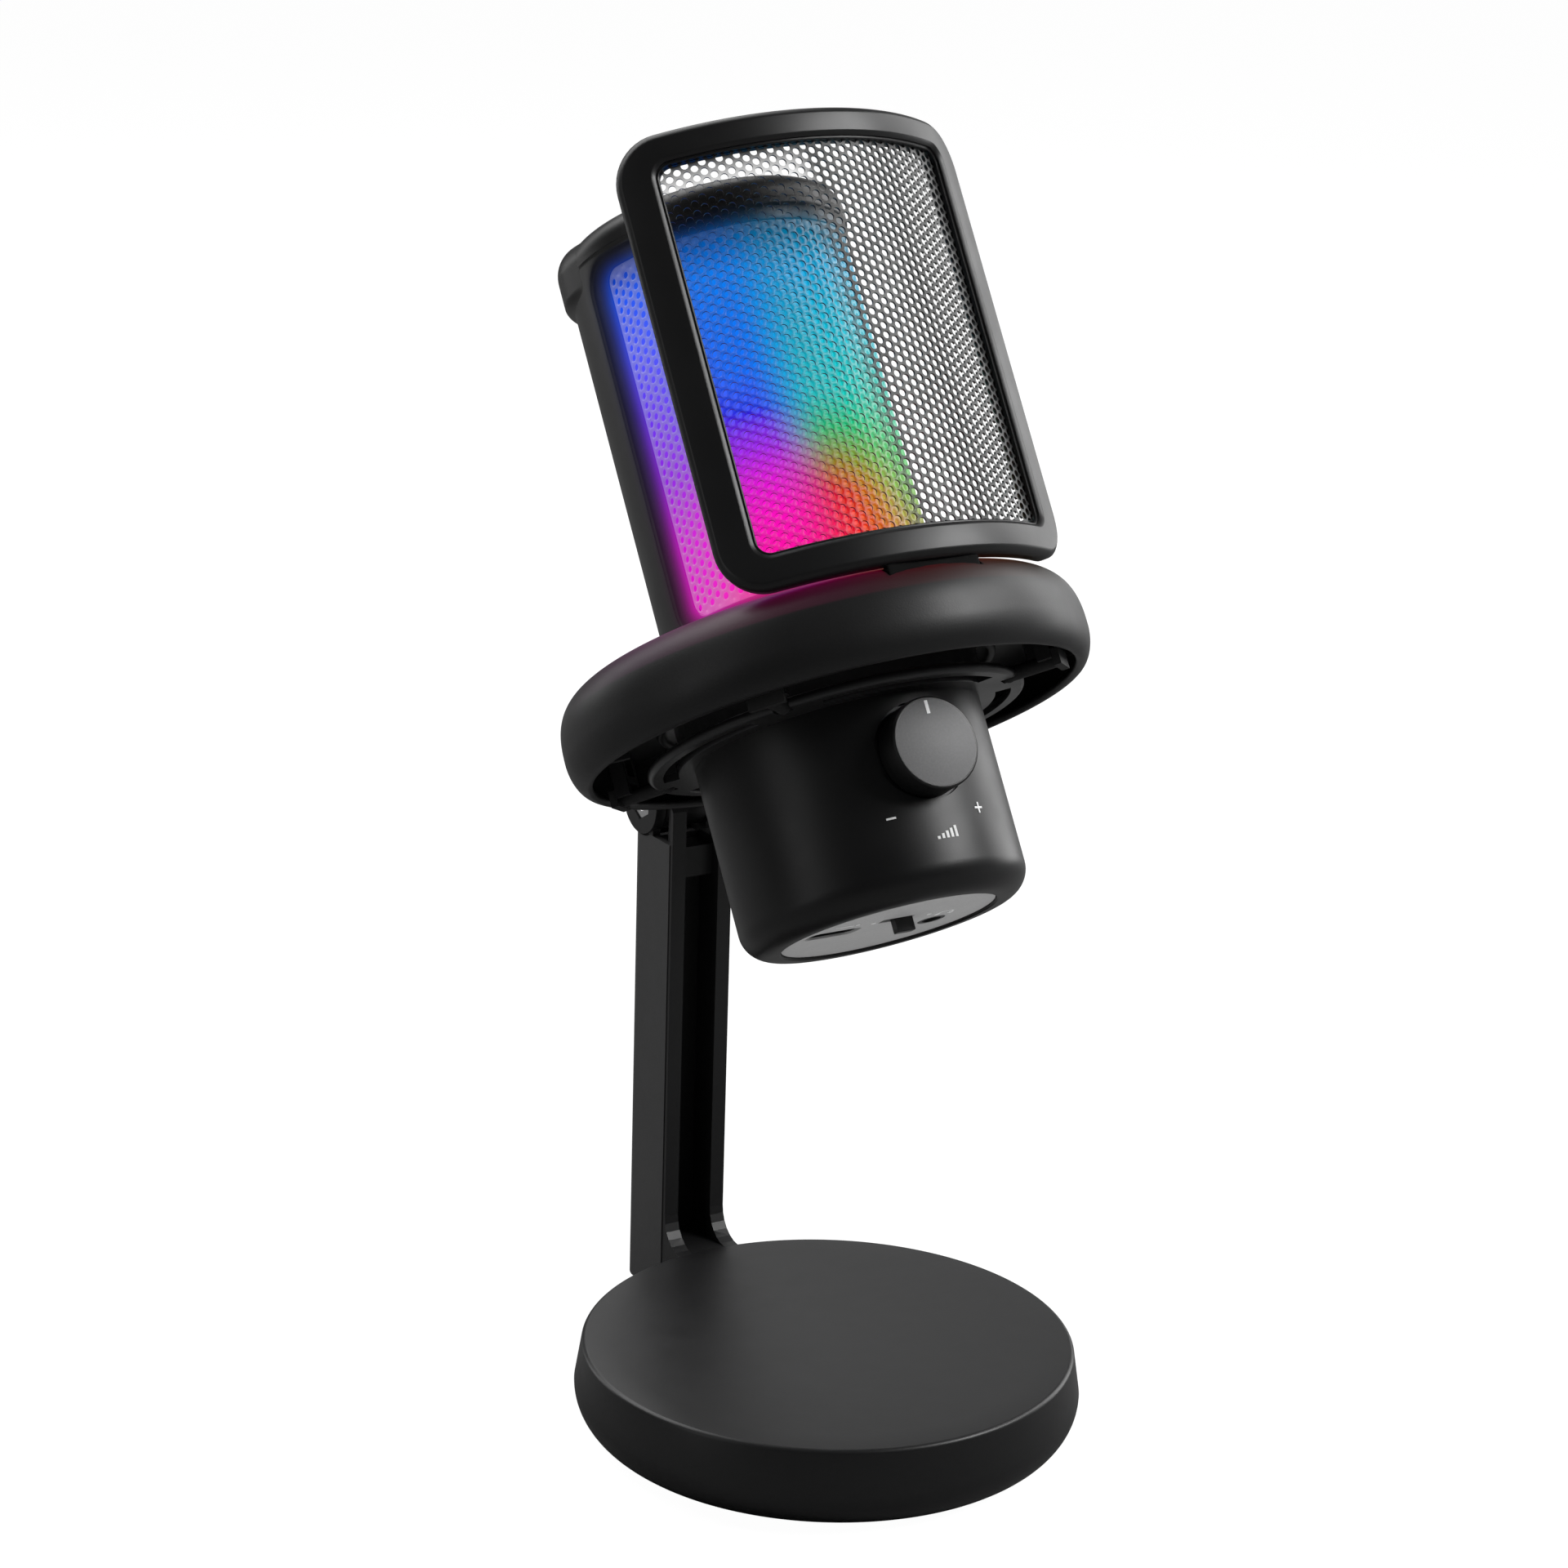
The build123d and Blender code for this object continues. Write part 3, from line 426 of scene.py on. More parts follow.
def cut_away(piece, points, faces):
    """Takes a closed solid away from a piece and keeps the result as the piece's own mesh."""
    mesh = bpy.data.meshes.new("cutter")
    mesh.from_pydata((np.asarray(points).reshape(-1, 3) / 1000).tolist(), [], np.asarray(faces).tolist())
    edit = bmesh.new()
    edit.from_mesh(mesh)
    bmesh.ops.remove_doubles(edit, verts=edit.verts, dist=1e-6)
    bmesh.ops.recalc_face_normals(edit, faces=edit.faces)
    edit.to_mesh(mesh)
    edit.free()
    cutter = bpy.data.objects.new("cutter", mesh)
    bpy.context.collection.objects.link(cutter)
    cut = piece.modifiers.new("cut", "BOOLEAN")
    cut.operation, cut.object, cut.solver = "DIFFERENCE", cutter, "EXACT"
    bpy.context.view_layer.update()
    shaped = bpy.data.meshes.new_from_object(piece.evaluated_get(bpy.context.evaluated_depsgraph_get()))
    piece.modifiers.remove(cut)
    piece.data = shaped
    bpy.data.objects.remove(cutter)
    shaped.polygons.foreach_set("use_smooth", np.ones(len(shaped.polygons), dtype=bool))
    shaped.set_sharp_from_angle(angle=radians(35))


# The ring's section, as radii and heights: the crown, the height of its widest line, the rim it rests its
# lower edge on, and the hole with its own lower edge.
ring_radius = half_width("ring_shell")
crown_r, crown_h, equator, rim_r, hole_r, hole_low = 36.0, 16.8, 5.6, 44.3, 28.9, 6.6
ring_wall, bead_round = 1.6, 0.8
inner_square, outer_square, under_square = 0.7, 0.72, 1.1


def squared_quarter(middle, wide, tall, square):
    """Quarter of a squared ellipse from its side to its top: the point at angle t is the middle plus
    (wide cos(t) ** square, tall sin(t) ** square), rounder the nearer square is to 1."""
    t = np.linspace(0, pi / 2, 41)[:, None]
    return np.asarray(middle) + np.hstack([wide * np.cos(t) ** square, tall * np.sin(t) ** square])


inward = squared_quarter((crown_r, hole_low), hole_r - crown_r, crown_h - hole_low, inner_square)
outward = squared_quarter((crown_r, equator), ring_radius - crown_r, crown_h - equator, outer_square)
under = squared_quarter((rim_r, equator), ring_radius - rim_r, -equator, under_square)
skin = np.vstack([inward, outward[::-1][1:], under[1:]])
step = np.concatenate([[0], np.cumsum(np.linalg.norm(np.diff(skin, axis=0), axis=1))])
even = np.linspace(0, step[-1], 90)
skin = np.stack([np.interp(even, step, skin[:, 0]), np.interp(even, step, skin[:, 1])], 1)
along = np.gradient(skin, axis=0)
out = np.stack([-along[:, 1], along[:, 0]], 1) / np.linalg.norm(along, axis=1)[:, None]
bead = np.linspace(0, pi, 9)[1:-1, None]
run = along / np.linalg.norm(along, axis=1)[:, None]
first = skin[0] - bead_round * (out[0] + np.cos(bead) * out[0] + np.sin(bead) * run[0])
last = skin[-1] - bead_round * (out[-1] - np.cos(bead) * out[-1] - np.sin(bead) * run[-1])
profile = np.vstack([skin, last, (skin - ring_wall * out)[::-1], first, skin[:1]])[::-1]
points, faces = turned(profile, 288)
ring_turn = np.broadcast_to(np.arctan2(points[..., 0], -points[..., 1]), points.shape[:2])
ring_wrap = np.stack([ring_turn / (2 * pi) + 0.5, np.full(ring_turn.shape, 0.25)], -1)
# The crown's painted glow of the lamp's light is brightest left of the front and fades over an angle and
# outwards.
bright_turn, bright_half, fade_turn = radians(25), radians(40), radians(22)
bright_r, fade_r, lowest_lit = 31, 8.5, 11
beside = np.clip(np.abs(ring_turn + bright_turn) - bright_half, 0, None)
from_hole = np.clip(np.hypot(points[..., 0], points[..., 1]) - bright_r, 0, None)
near_window = np.exp(-(beside / fade_turn) ** 2)
on_crown = np.exp(-(from_hole / fade_r) ** 2) * (points[..., 2] > lowest_lit)
ring = make_piece("ring_doughnut", in_head(points), faces, "head", sharp=60, outward=False,
                  wrap=ring_wrap, spill=near_window * on_crown)
slot_half, slot_front, slot_back, slot_low, slot_high = 9.2, 44.1, 42.0, 7.0, 30.0
slot_box = [(x, -y, z) for x in (-slot_half, slot_half) for y in (slot_front, slot_back)
            for z in (slot_low, slot_high)]
box_faces = [(0, 1, 3, 2), (4, 6, 7, 5), (0, 4, 5, 1), (2, 3, 7, 6), (0, 2, 6, 4), (1, 5, 7, 3)]
cut_away(ring, in_head(slot_box), box_faces)
ring_black = moulded("ring_black", (0.005, 0.005, 0.0053), (0.0095, 0.0095, 0.01), (0.43, 0.5),
                     3000.0, 80.0, 0.03)
# The ring's black carries that painted glow of the lamp's light on its crown.
finish_with(ring, lit(ring_black, 0.6, spill=True))
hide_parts("ring_shell")

# ----------------------------------------------------------------
# Inside the ring: a ribbed shelf with hooks, the sleeve that grips the microphone with its slotted
# flange, four rubber links between them, and the bracket that reaches back to the arm.
# ----------------------------------------------------------------
inner_black = moulded("inner_black", (0.012, 0.012, 0.0125), (0.018, 0.018, 0.0185), (0.3, 0.4), 2600.0)
welded("ring_carrier", inner_black, 0.15)
welded("cradle", inner_black, 0.15)
welded("ring_bracket", arm_black, 0.35, 3)
welded("bracket_screws", black_screw, 0.08)
welded("suspension_links", soft_rubber, 0.3, 3)

# ----------------------------------------------------------------
# Lower housing. A moulded cylinder with a round bottom edge, a shallow round well for the knob and
# a rim underneath that holds the port plate.
# ----------------------------------------------------------------
mic_below = 36.0
bottom_round = 5.0
plate_r = 19.2
housing_bore = 23.3
seat_low, seat_high, seat_r = -33.9, -33.8, 17.2
well_floor, well_mouth, well_gap = mic_radius - 1.3, 32, 0.5
knob_radius = 8.1
housing_black = moulded("housing_black", (0.004, 0.004, 0.0043), (0.0075, 0.0075, 0.008), (0.37, 0.43))

angle = np.linspace(0, pi / 2, 15)
turned_in = mic_radius - bottom_round + bottom_round * np.sin(angle)
bottom = np.stack([turned_in, -mic_below + bottom_round * (1 - np.cos(angle))], 1)
wall = [(plate_r, seat_low), (plate_r, -mic_below + 0.25), (plate_r + 0.25, -mic_below)] + bottom.tolist()
wall += [(mic_radius, -25), (mic_radius, -15), (mic_radius, -5), (mic_radius, 0.0), (housing_bore, 0.0)]
wall += [(housing_bore, -31), (20.5, seat_high), (seat_r, seat_high), (seat_r, seat_low), (plate_r, seat_low)]
points, faces = turned(wall, 224)
lower = make_piece("lower_body", in_head(points), faces, "head")
well_r = knob_radius + well_gap
well = [(0, well_floor), (well_r, well_floor), (well_r, well_mouth), (0, well_mouth)]
well_points, well_faces = turned(well, 96, in_head((0, 0, knob_height)), mic_side, mic_up, mic_front)
cut_away(lower, well_points, well_faces)
finish_with(lower, housing_black)
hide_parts("lower_housing")

# ----------------------------------------------------------------
# Upper housing and cap. One black cylinder with a large round-cornered window set in a soft dished
# bezel, a low hood raised round the back of the top, and a rounded lid with a round touch plate.
# ----------------------------------------------------------------
cap_low, cap_top = 89.4, 94.8
window_half, window_low, window_high = radians(78), 21.4, 85.4
bezel_half, bezel_low, bezel_high = radians(88), 18.7, 88.0


def rounded_loop(half, low, high, corner, side=40, end=40, arc=10):
    """Rounded rectangle as (across, up) points anticlockwise from the lower right, with its outward normals.
    Every loop has the same number of points along each side and corner, so two loops pair up."""
    sides = []
    quarter = np.linspace(0, pi / 2, arc + 1)
    spots = (((half - corner, low + corner), -pi / 2), ((half - corner, high - corner), 0),
             ((corner - half, high - corner), pi / 2), ((corner - half, low + corner), pi))
    for k, ((x, y), start) in enumerate(spots):
        a = start + quarter
        sides.append(np.stack([x + corner * np.cos(a), y + corner * np.sin(a), np.cos(a), np.sin(a)], 1))
        nx, ny = spots[(k + 1) % 4][0]
        last = sides[-1][-1]
        first = np.array([nx + corner * np.cos(a[-1]), ny + corner * np.sin(a[-1])])
        share = np.linspace(0, 1, (end if k % 2 == 0 else side) + 2)[1:-1, None]
        run = last[:2] * (1 - share) + first * share
        sides.append(np.hstack([run, np.broadcast_to(last[2:], run.shape)]))
    loop = np.vstack(sides)
    return loop[:, :2], loop[:, 2:]


inner_loop, inner_normal = rounded_loop(mic_radius * window_half, window_low, window_high, 2.8)
outer_loop, outer_normal = rounded_loop(mic_radius * bezel_half, bezel_low, bezel_high, 5.6)
edge_loop = rounded_loop(mic_radius * pi, 0.0, cap_low, 1e-6)[0]
# Each station is a loop and its distance from the axis: out from the window's edge over the dished bezel,
# round the whole body, and back inside it.
stations = [(inner_loop, 23.6), (inner_loop, 24.42), (inner_loop + 0.1 * inner_normal, 24.56)]
for share, depth in ((0.1, 24.62), (0.3, 24.71), (0.5, 24.81), (0.7, 24.92), (0.85, 25.02), (0.94, 25.12)):
    stations.append((inner_loop * (1 - share) + outer_loop * share, depth))
stations += [(outer_loop - 0.05 * outer_normal, 25.2), (outer_loop + 0.1 * outer_normal, 25.38)]
stations += [(outer_loop + 0.28 * outer_normal, 25.47), (outer_loop + 0.5 * outer_normal, mic_radius)]
start_loop = outer_loop + 0.5 * outer_normal
for share in np.linspace(0, 1, 33)[1:]:
    stations.append((start_loop * (1 - share) + edge_loop * share, mic_radius))
stations.append((edge_loop, housing_bore))
for share in np.linspace(1, 0, 17)[1:]:
    stations.append((inner_loop * (1 - share) + edge_loop * share, housing_bore + 0.3 * (1 - share)))
across = np.stack([s[0][:, 0] for s in stations]) / mic_radius
up = np.stack([s[0][:, 1] for s in stations])
depth = np.broadcast_to(np.array([s[1] for s in stations])[:, None], across.shape)
points = np.stack([depth * np.sin(across), -depth * np.cos(across), up], -1)
faces = grid_faces(*across.shape, wrap_cols=True)
# The bezel's painted glow: the lamp's light painted on, strongest at the window's edge and fading over a
# couple of millimetres.
from_window = np.linalg.norm(np.stack([across * mic_radius, up], -1) - inner_loop[None], axis=-1)
body_wrap = np.stack([across / (2 * pi) + 0.5, up / 100], -1)
upper = make_piece("upper_body", in_head(points), faces, "head", sharp=42,
                   wrap=body_wrap, spill=np.exp(-(from_window / 1.6) ** 1.2))
upper_black = moulded("upper_black", (0.004, 0.004, 0.0043), (0.0075, 0.0075, 0.008), (0.37, 0.43))
finish_with(upper, lit(upper_black, 0.75, spill=True))
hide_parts("upper_housing")

cap_round = 3.9
round_from, shoulder_low = mic_radius - cap_round, cap_top - 0.25 - cap_round
angle = np.linspace(0, pi / 2, 17)
lid = [(housing_bore, cap_low), (mic_radius, cap_low), (mic_radius, 90.2)]
lid += [(round_from + cap_round * cos(a), shoulder_low + cap_round * sin(a)) for a in angle]
lid += [(18, cap_top - 0.08), (13, cap_top), (12.25, cap_top - 0.02), (12.1, cap_top - 0.55)]
lid += [(0, cap_top - 0.6), (0, cap_low + 3.2), (22, cap_low + 2.6), (housing_bore, cap_low)]
points, faces = turned(lid, 224)
cap = make_piece("body_cap", in_head(points), faces, "head", sharp=42)
finish_with(cap, housing_black)
# The hood: each line of the lid's outline, as (radius, height) with its outward normal, is pushed out by a
# rise that swells from nothing over 2 mm of height and dies away towards the lid's middle and both ends.
hood_rise, hood_sunk = 1.55, 0.07
corner = np.linspace(0, pi / 2, 19)[1:]
hood = [(mic_radius, h, 1, 0) for h in np.linspace(83.6, shoulder_low, 26)]
hood += [(round_from + cap_round * cos(a), shoulder_low + cap_round * sin(a), cos(a), sin(a)) for a in corner]
hood += [(rr, cap_top - 0.25 + 0.2 * (21.6 - rr) / 6, 0, 1) for rr in np.linspace(20.8, 15.0, 8)]
hood = np.array(hood)
lift = np.clip((hood[:, 1] - 84.2) / 2.0, 0, 1) * np.clip((hood[:, 0] - 15.4) / 8.0, 0, 1)
lift = (lift * lift * (3 - 2 * lift))[:, None]
turn = np.linspace(radians(90), radians(270), 181)[None]
back = np.clip((90 - np.abs(np.degrees(turn) - 180)) / 26, 0, 1)
rise = hood_rise * lift * back * back * (3 - 2 * back) - hood_sunk
reach, height = hood[:, :1] + hood[:, 2:3] * rise, hood[:, 1:2] + hood[:, 3:4] * rise
points = np.stack([reach * np.sin(turn), -reach * np.cos(turn), height + 0 * turn], -1)
rear_hood = make_piece("body_hood", in_head(points), grid_faces(*reach.shape), "head",
                       sharp=80, outward=False)
finish_with(rear_hood, housing_black)
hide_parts("top_cap")
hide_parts("top_cap")
touch_gloss = moulded("touch_gloss", (0.012, 0.012, 0.013), (0.016, 0.016, 0.017), (0.12, 0.2),
                      900.0, 40.0, 0.002, 0.5)
disc = [(0, cap_top - 0.06), (11.4, cap_top - 0.08), (11.8, cap_top - 0.16), (11.95, cap_top - 0.35)]
disc += [(11.95, cap_top - 0.59), (0, cap_top - 0.59)]
points, faces = turned(disc, 128)
touch = make_piece("touch_disc", in_head(points), faces, "head", sharp=50)
finish_with(touch, touch_gloss)
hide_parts("touch_plate")

# ----------------------------------------------------------------
# Light and its mesh. A translucent tube glows through a punched, painted steel mesh: blue at the top
# left, sky to teal across, violet and magenta low on the left, red and orange low in the middle,
# green on the right. The mesh's webs carry these colours as a painted glow, paler at the sides.
# ----------------------------------------------------------------
def punched(half, low, high, column, pitch, hole, radius, centre_y=0.0, border=0.0):
    """Curved sheet of staggered round holes. Each cell is a hexagon of twelve outer points round twelve hole
    points, and every other column is shifted by half a pitch. Cells within the border keep only a pinhole, so
    that the edge is plain."""
    col = np.arange(-int(half / column), int(half / column) + 1)
    row = np.arange(int((high - low) / pitch) + 1)
    cs, ch = np.meshgrid(col * column, low + row * pitch)
    ch = ch + (col % 2)[None, :] * pitch / 2
    centres = np.stack([cs.ravel(), ch.ravel()], 1)
    a = np.arange(12) * pi / 6
    reach = np.where(np.arange(12) % 2 == 0, pitch / np.sqrt(3), pitch / 2)
    rim = np.stack([np.cos(a) * reach, np.sin(a) * reach], 1)
    edge = np.stack([np.cos(a), np.sin(a)], 1) * hole
    open_across = np.abs(centres[:, 0]) < half - border
    open_up = (centres[:, 1] > low + border) & (centres[:, 1] < high - border)
    edge = edge[None] * np.where(open_across & open_up, 1, 0.02)[:, None, None]
    cells = np.concatenate([centres[:, None] + rim, centres[:, None] + edge], 1)
    k = np.arange(12)
    quad = np.stack([k, (k + 1) % 12, 12 + (k + 1) % 12, 12 + k], 1)
    faces = (np.arange(len(centres))[:, None, None] * 24 + quad[None]).reshape(-1, 4)
    turn = cells[..., 0] / radius
    points = np.stack([radius * np.sin(turn), centre_y - radius * np.cos(turn), cells[..., 1]], -1)
    wrap = np.stack([turn / (2 * pi) + 0.5, cells[..., 1] / 100], -1)
    return points.reshape(-1, 3), faces, wrap.reshape(-1, 2)


grille_radius, grille_behind, grille_thick = 24.4, 1.0, 0.45
grille_column, grille_pitch, grille_hole = 1.533, 1.77, 0.65
mesh_paint_and_glow = moulded("mesh_paint_and_glow", (0.05, 0.05, 0.055), (0.08, 0.08, 0.085), (0.4, 0.55), 5200.0, 200.0, 0.01)
grille_half = grille_radius * window_half + grille_behind + 0.4
points, faces, wrap = punched(grille_half, window_low - grille_behind, window_high + grille_behind,
                              grille_column, grille_pitch, grille_hole, grille_radius, border=2.3)
grille = make_piece("body_grille", in_head(points), faces, "head",
                    outward=False, wrap=wrap)
# The grille's webs glow in the lamp's colours: painted light, paler at the sides than in the middle.
finish_with(grille, lit(mesh_paint_and_glow, 0.95, 1.1, 0.85), thick=grille_thick)
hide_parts("body_mesh")

glow = moulded("light_tube", (0.04, 0.04, 0.045), (0.06, 0.06, 0.065), (0.4, 0.5), 800.0, 60.0, 0.01)
tube_inside, tube_outside, tube_low, tube_high = 21.4, 22.8, 17, 89
turn = np.linspace(-pi, pi, 145)
height = np.concatenate([[tube_low] * 2, np.linspace(tube_low, tube_high, 25), [tube_high] * 2])
end = [tube_inside, (tube_inside + tube_outside) / 2]
reach = np.concatenate([end, np.full(25, tube_outside), end[::-1]])
tube_turn, tube_height = np.meshgrid(turn, height)
points = np.stack([reach[:, None] * np.sin(tube_turn), -reach[:, None] * np.cos(tube_turn), tube_height], -1)
wrap = np.stack([tube_turn / (2 * pi) + 0.5, tube_height / 100], -1)
tube = make_piece("light_diffuser", in_head(points), grid_faces(*tube_turn.shape), "head",
                  outward=False, wrap=wrap)
finish_with(tube, lit(glow, 1.2))
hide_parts("diffuser")

# ----------------------------------------------------------------
# Inside the body: the light board with its chips, the shelf, the sensing capsule in its rubber boot,
# the boards and the knob's control. All hidden by the light tube.
# ----------------------------------------------------------------
board_green = moulded("board_green", (0.01, 0.06, 0.03), (0.015, 0.09, 0.045), (0.25, 0.35),
                      1200.0, 80.0, 0.01)
lamp_lens = moulded("lamp_lens", (0.7, 0.7, 0.65), (0.8, 0.8, 0.74), (0.2, 0.3), 1800.0)
capsule_brass = moulded("capsule_brass", (0.5, 0.4, 0.18), (0.6, 0.48, 0.22), (0.25, 0.35),
                        3000.0, 90.0, 0.006, 0.5, 1.0)
plain_white = moulded("plain_white", (0.4, 0.4, 0.4), (0.5, 0.5, 0.5), (0.4, 0.5), 2400.0)
for name, material in (("led_board", board_green), ("main_board", board_green), ("port_board", board_green),
                       ("leds", lamp_lens), ("inner_shelf", inner_black), ("capsule", capsule_brass),
                       ("capsule_boot", soft_rubber), ("gain_control", inner_black),
                       ("board_connector", plain_white)):
    welded(name, material, 0.08)

# ----------------------------------------------------------------
# Gain knob. A round moulded cap with a small edge, a flat grained face and a printed white line that
# points at the setting; it presses onto a plain shaft and sits in the housing's round well.
# ----------------------------------------------------------------
knob_grey = moulded("knob_grey", (0.16, 0.16, 0.162), (0.22, 0.22, 0.222), (0.5, 0.58),
                    2600.0, 120.0, 0.02, 0.25)
print_white = moulded("print_white", (0.85, 0.85, 0.85), (0.93, 0.93, 0.93), (0.45, 0.6),
                      4200.0, 400.0, 0.004)
face_out, back_out = mic_radius + 4.6, well_floor + 0.3
skirt_in, boss_r, shaft_r = knob_radius - 1.2, 4.6, 2.45
cup = [(0, face_out), (knob_radius - 1.4, face_out), (knob_radius - 0.42, face_out - 0.02)]
cup += list(rounded((knob_radius - 0.5, face_out - 0.02), (knob_radius, face_out - 0.04),
                    (knob_radius, back_out), 0.35, 5))
cup += [(knob_radius, face_out - 2), (knob_radius, back_out + 0.3), (knob_radius - 0.2, back_out)]
cup += [(skirt_in, back_out), (skirt_in, face_out - 1.4), (boss_r, face_out - 1.4), (boss_r, back_out)]
cup += [(shaft_r, back_out), (shaft_r, face_out - 1.55), (0, face_out - 1.55)]
points, faces = turned(cup, 144, in_head((0, 0, knob_height)), mic_side, mic_up, mic_front)
knob = make_piece("gain_dial_cap", points, faces, "gain_dial", sharp=40)
finish_with(knob, housing_black)
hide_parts("gain_knob")
face_disc = [(0, face_out + 0.03), (knob_radius - 0.62, face_out + 0.03)]
face_disc += [(knob_radius - 0.5, face_out - 0.04), (0, face_out - 0.3)]
points, faces = turned(face_disc, 128, in_head((0, 0, knob_height)), mic_side, mic_up, mic_front)
inlay = make_piece("gain_dial_face", points, faces, "gain_dial", sharp=40)
finish_with(inlay, knob_grey)
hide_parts("gain_knob")
welded("knob_shaft", plain_white)
welded("knob_mark", print_white)
welded("dial_marks", print_white)

# ----------------------------------------------------------------
# Ports. A grey grained plate set up into the bottom rim, with the flat USB-C receptacle, the round
# headphone socket and the black mode slider, and small generic printed signs beside them.
# ----------------------------------------------------------------
plate_grey = moulded("plate_grey", (0.4, 0.4, 0.4), (0.54, 0.54, 0.54), (0.45, 0.6), 2400.0, 150.0, 0.02)
socket_steel = moulded("socket_steel", (0.4, 0.4, 0.41), (0.52, 0.52, 0.53), (0.25, 0.35),
                       3000.0, 200.0, 0.004, 0.5, 1.0)
socket_black = moulded("socket_black", (0.006, 0.006, 0.006), (0.01, 0.01, 0.01), (0.3, 0.4), 3000.0)
welded("port_plate", plate_grey, 0.12)
welded("usb_c_socket", socket_black, 0.06)
welded("headphone_jack", socket_black, 0.1)
welded("mode_switch", socket_black, 0.15)
welded("mode_switch_body", socket_steel, 0.06)
welded("port_marks", print_white)

# ----------------------------------------------------------------
# Pop filter. A curved screen of punched black steel held between a front and a rear moulded frame. The
# frames have rounded outer corners and a fine bevel round the opening, and a tab plugs into the ring.
# ----------------------------------------------------------------
filter_r, filter_y = 50.9, 5.1
filter_low, filter_high = 15.7, 96.8
frame_reach, open_reach, bar_low, bar_high = 34.2, 28.15, 6.2, 5.8
frame_half = filter_r * asin(frame_reach / filter_r)
open_half = filter_r * asin(open_reach / filter_r)
open_low, open_high = filter_low + bar_low, filter_high - bar_high
big_loop, big_normal = rounded_loop(frame_half, filter_low, filter_high, 8.6, 36, 44, 12)
gap_loop, gap_normal = rounded_loop(open_half, open_low, open_high, 2.4, 36, 44, 12)


def frame_ring(stations):
    """Closed frame carried round two paired loops: each station is (loop points, distance from the filter's
    centre line), and the measure across turns into an angle about that line."""
    turn = np.stack([s[0][:, 0] for s in stations]) / filter_r
    up = np.stack([s[0][:, 1] for s in stations])
    reach = np.array([s[1] for s in stations])[:, None]
    points = np.stack([reach * np.sin(turn), filter_y - reach * np.cos(turn), up + 0 * reach], -1)
    return points, grid_faces(*turn.shape, wrap_rows=True, wrap_cols=True)


split_r, edge_deep, edge_turn = filter_r - 1.7, 1.5, radians(52)
filter_black = moulded("filter_black", (0.006, 0.006, 0.0063), (0.0095, 0.0095, 0.01), (0.36, 0.42), 3000.0)
front = [(big_loop, split_r)]
for a in np.linspace(0, edge_turn, 8):
    depth = filter_r - edge_deep + edge_deep * sin(a) / sin(edge_turn)
    front.append((big_loop - (1 - cos(a)) * 3.4 * big_normal, depth))
front += [(big_loop - 1.45 * big_normal, filter_r), (gap_loop + 1.25 * gap_normal, filter_r)]
front += [(gap_loop + 1.12 * gap_normal, filter_r - 0.03), (gap_loop + 0.62 * gap_normal, filter_r - 0.5)]
front += [(gap_loop + 0.5 * gap_normal, filter_r - 0.62), (gap_loop + 0.48 * gap_normal, filter_r - 1.0)]
front += [(gap_loop + 0.3 * gap_normal, filter_r - 1.04), (gap_loop + 0.12 * gap_normal, filter_r - 1.0)]
front += [(gap_loop, filter_r - 1.12), (gap_loop, split_r)]
points, faces = frame_ring(front)
front_frame = make_piece("filter_front", in_head(points), faces, "pop_filter",
                         sharp=32)
finish_with(front_frame, filter_black)
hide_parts("filter_front_frame")

back_r, back_edge, inner_edge, groove_r = filter_r - 3.6, 0.8, 0.5, filter_r - 2.1
rear = [(big_loop, split_r), (big_loop, back_r + back_edge)]
for a in np.linspace(0, pi / 2, 6):
    rear.append((big_loop - (1 - cos(a)) * back_edge * big_normal, back_r + back_edge * (1 - sin(a))))
rear += [(big_loop * 0.5 + gap_loop * 0.5, back_r)]
for a in np.linspace(0, pi / 2, 5):
    rear.append((gap_loop + inner_edge * (1 - sin(a)) * gap_normal, back_r + inner_edge * (1 - cos(a))))
rear += [(gap_loop, groove_r), (gap_loop + 1.6 * gap_normal, groove_r)]
rear += [(gap_loop + 1.6 * gap_normal, split_r)]
points, faces = frame_ring(rear)
rear_frame = make_piece("filter_rear", in_head(points), faces, "pop_filter", sharp=32)
finish_with(rear_frame, filter_black)
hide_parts("filter_rear_frame")
# The tab: a squared ellipse carried upwards, drawn in a little at its foot so that it finds the slot.
tab_half, tab_thick, tab_foot, tab_square = 9.0, 1.7, filter_low - 8.0, 0.25
tab_front, tab_head = -(filter_r - filter_y - 1.9), filter_low + 2.0
side, end = np.meshgrid(np.linspace(0, 2 * pi, 49)[:-1], np.array([0.0, 0.0, 0.02, 0.08, 0.92, 1.0, 1.0]))
fit = np.array([0.0, 0.86, 0.95, 1.0, 1.0, 1.0, 0.0])[:, None]
tab_x = np.sign(np.cos(side)) * np.abs(np.cos(side)) ** tab_square * tab_half * fit
tab_y = np.sign(np.sin(side)) * np.abs(np.sin(side)) ** tab_square * tab_thick / 2 * fit
points = np.stack([tab_x, tab_front + tab_thick / 2 + tab_y, tab_foot + end * (tab_head - tab_foot)], -1)
tab = make_piece("filter_tab", in_head(points), grid_faces(*side.shape, wrap_cols=True), "pop_filter",
                 sharp=32)
# The tab is darker and duller than the frames: painted shade that keeps it as dark as the shadow under the
# frame's lower bar.
tab_painted_shade = moulded("tab_painted_shade", (0.003, 0.003, 0.003), (0.005, 0.005, 0.005), (0.7, 0.8),
                    3000.0, 90.0, 0.02, 0.1)
finish_with(tab, tab_painted_shade)
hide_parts("filter_rear_frame")

filter_steel = moulded("filter_steel", (0.014, 0.014, 0.014), (0.025, 0.025, 0.025), (0.38, 0.48),
                       5200.0, 200.0, 0.008, 0.35)


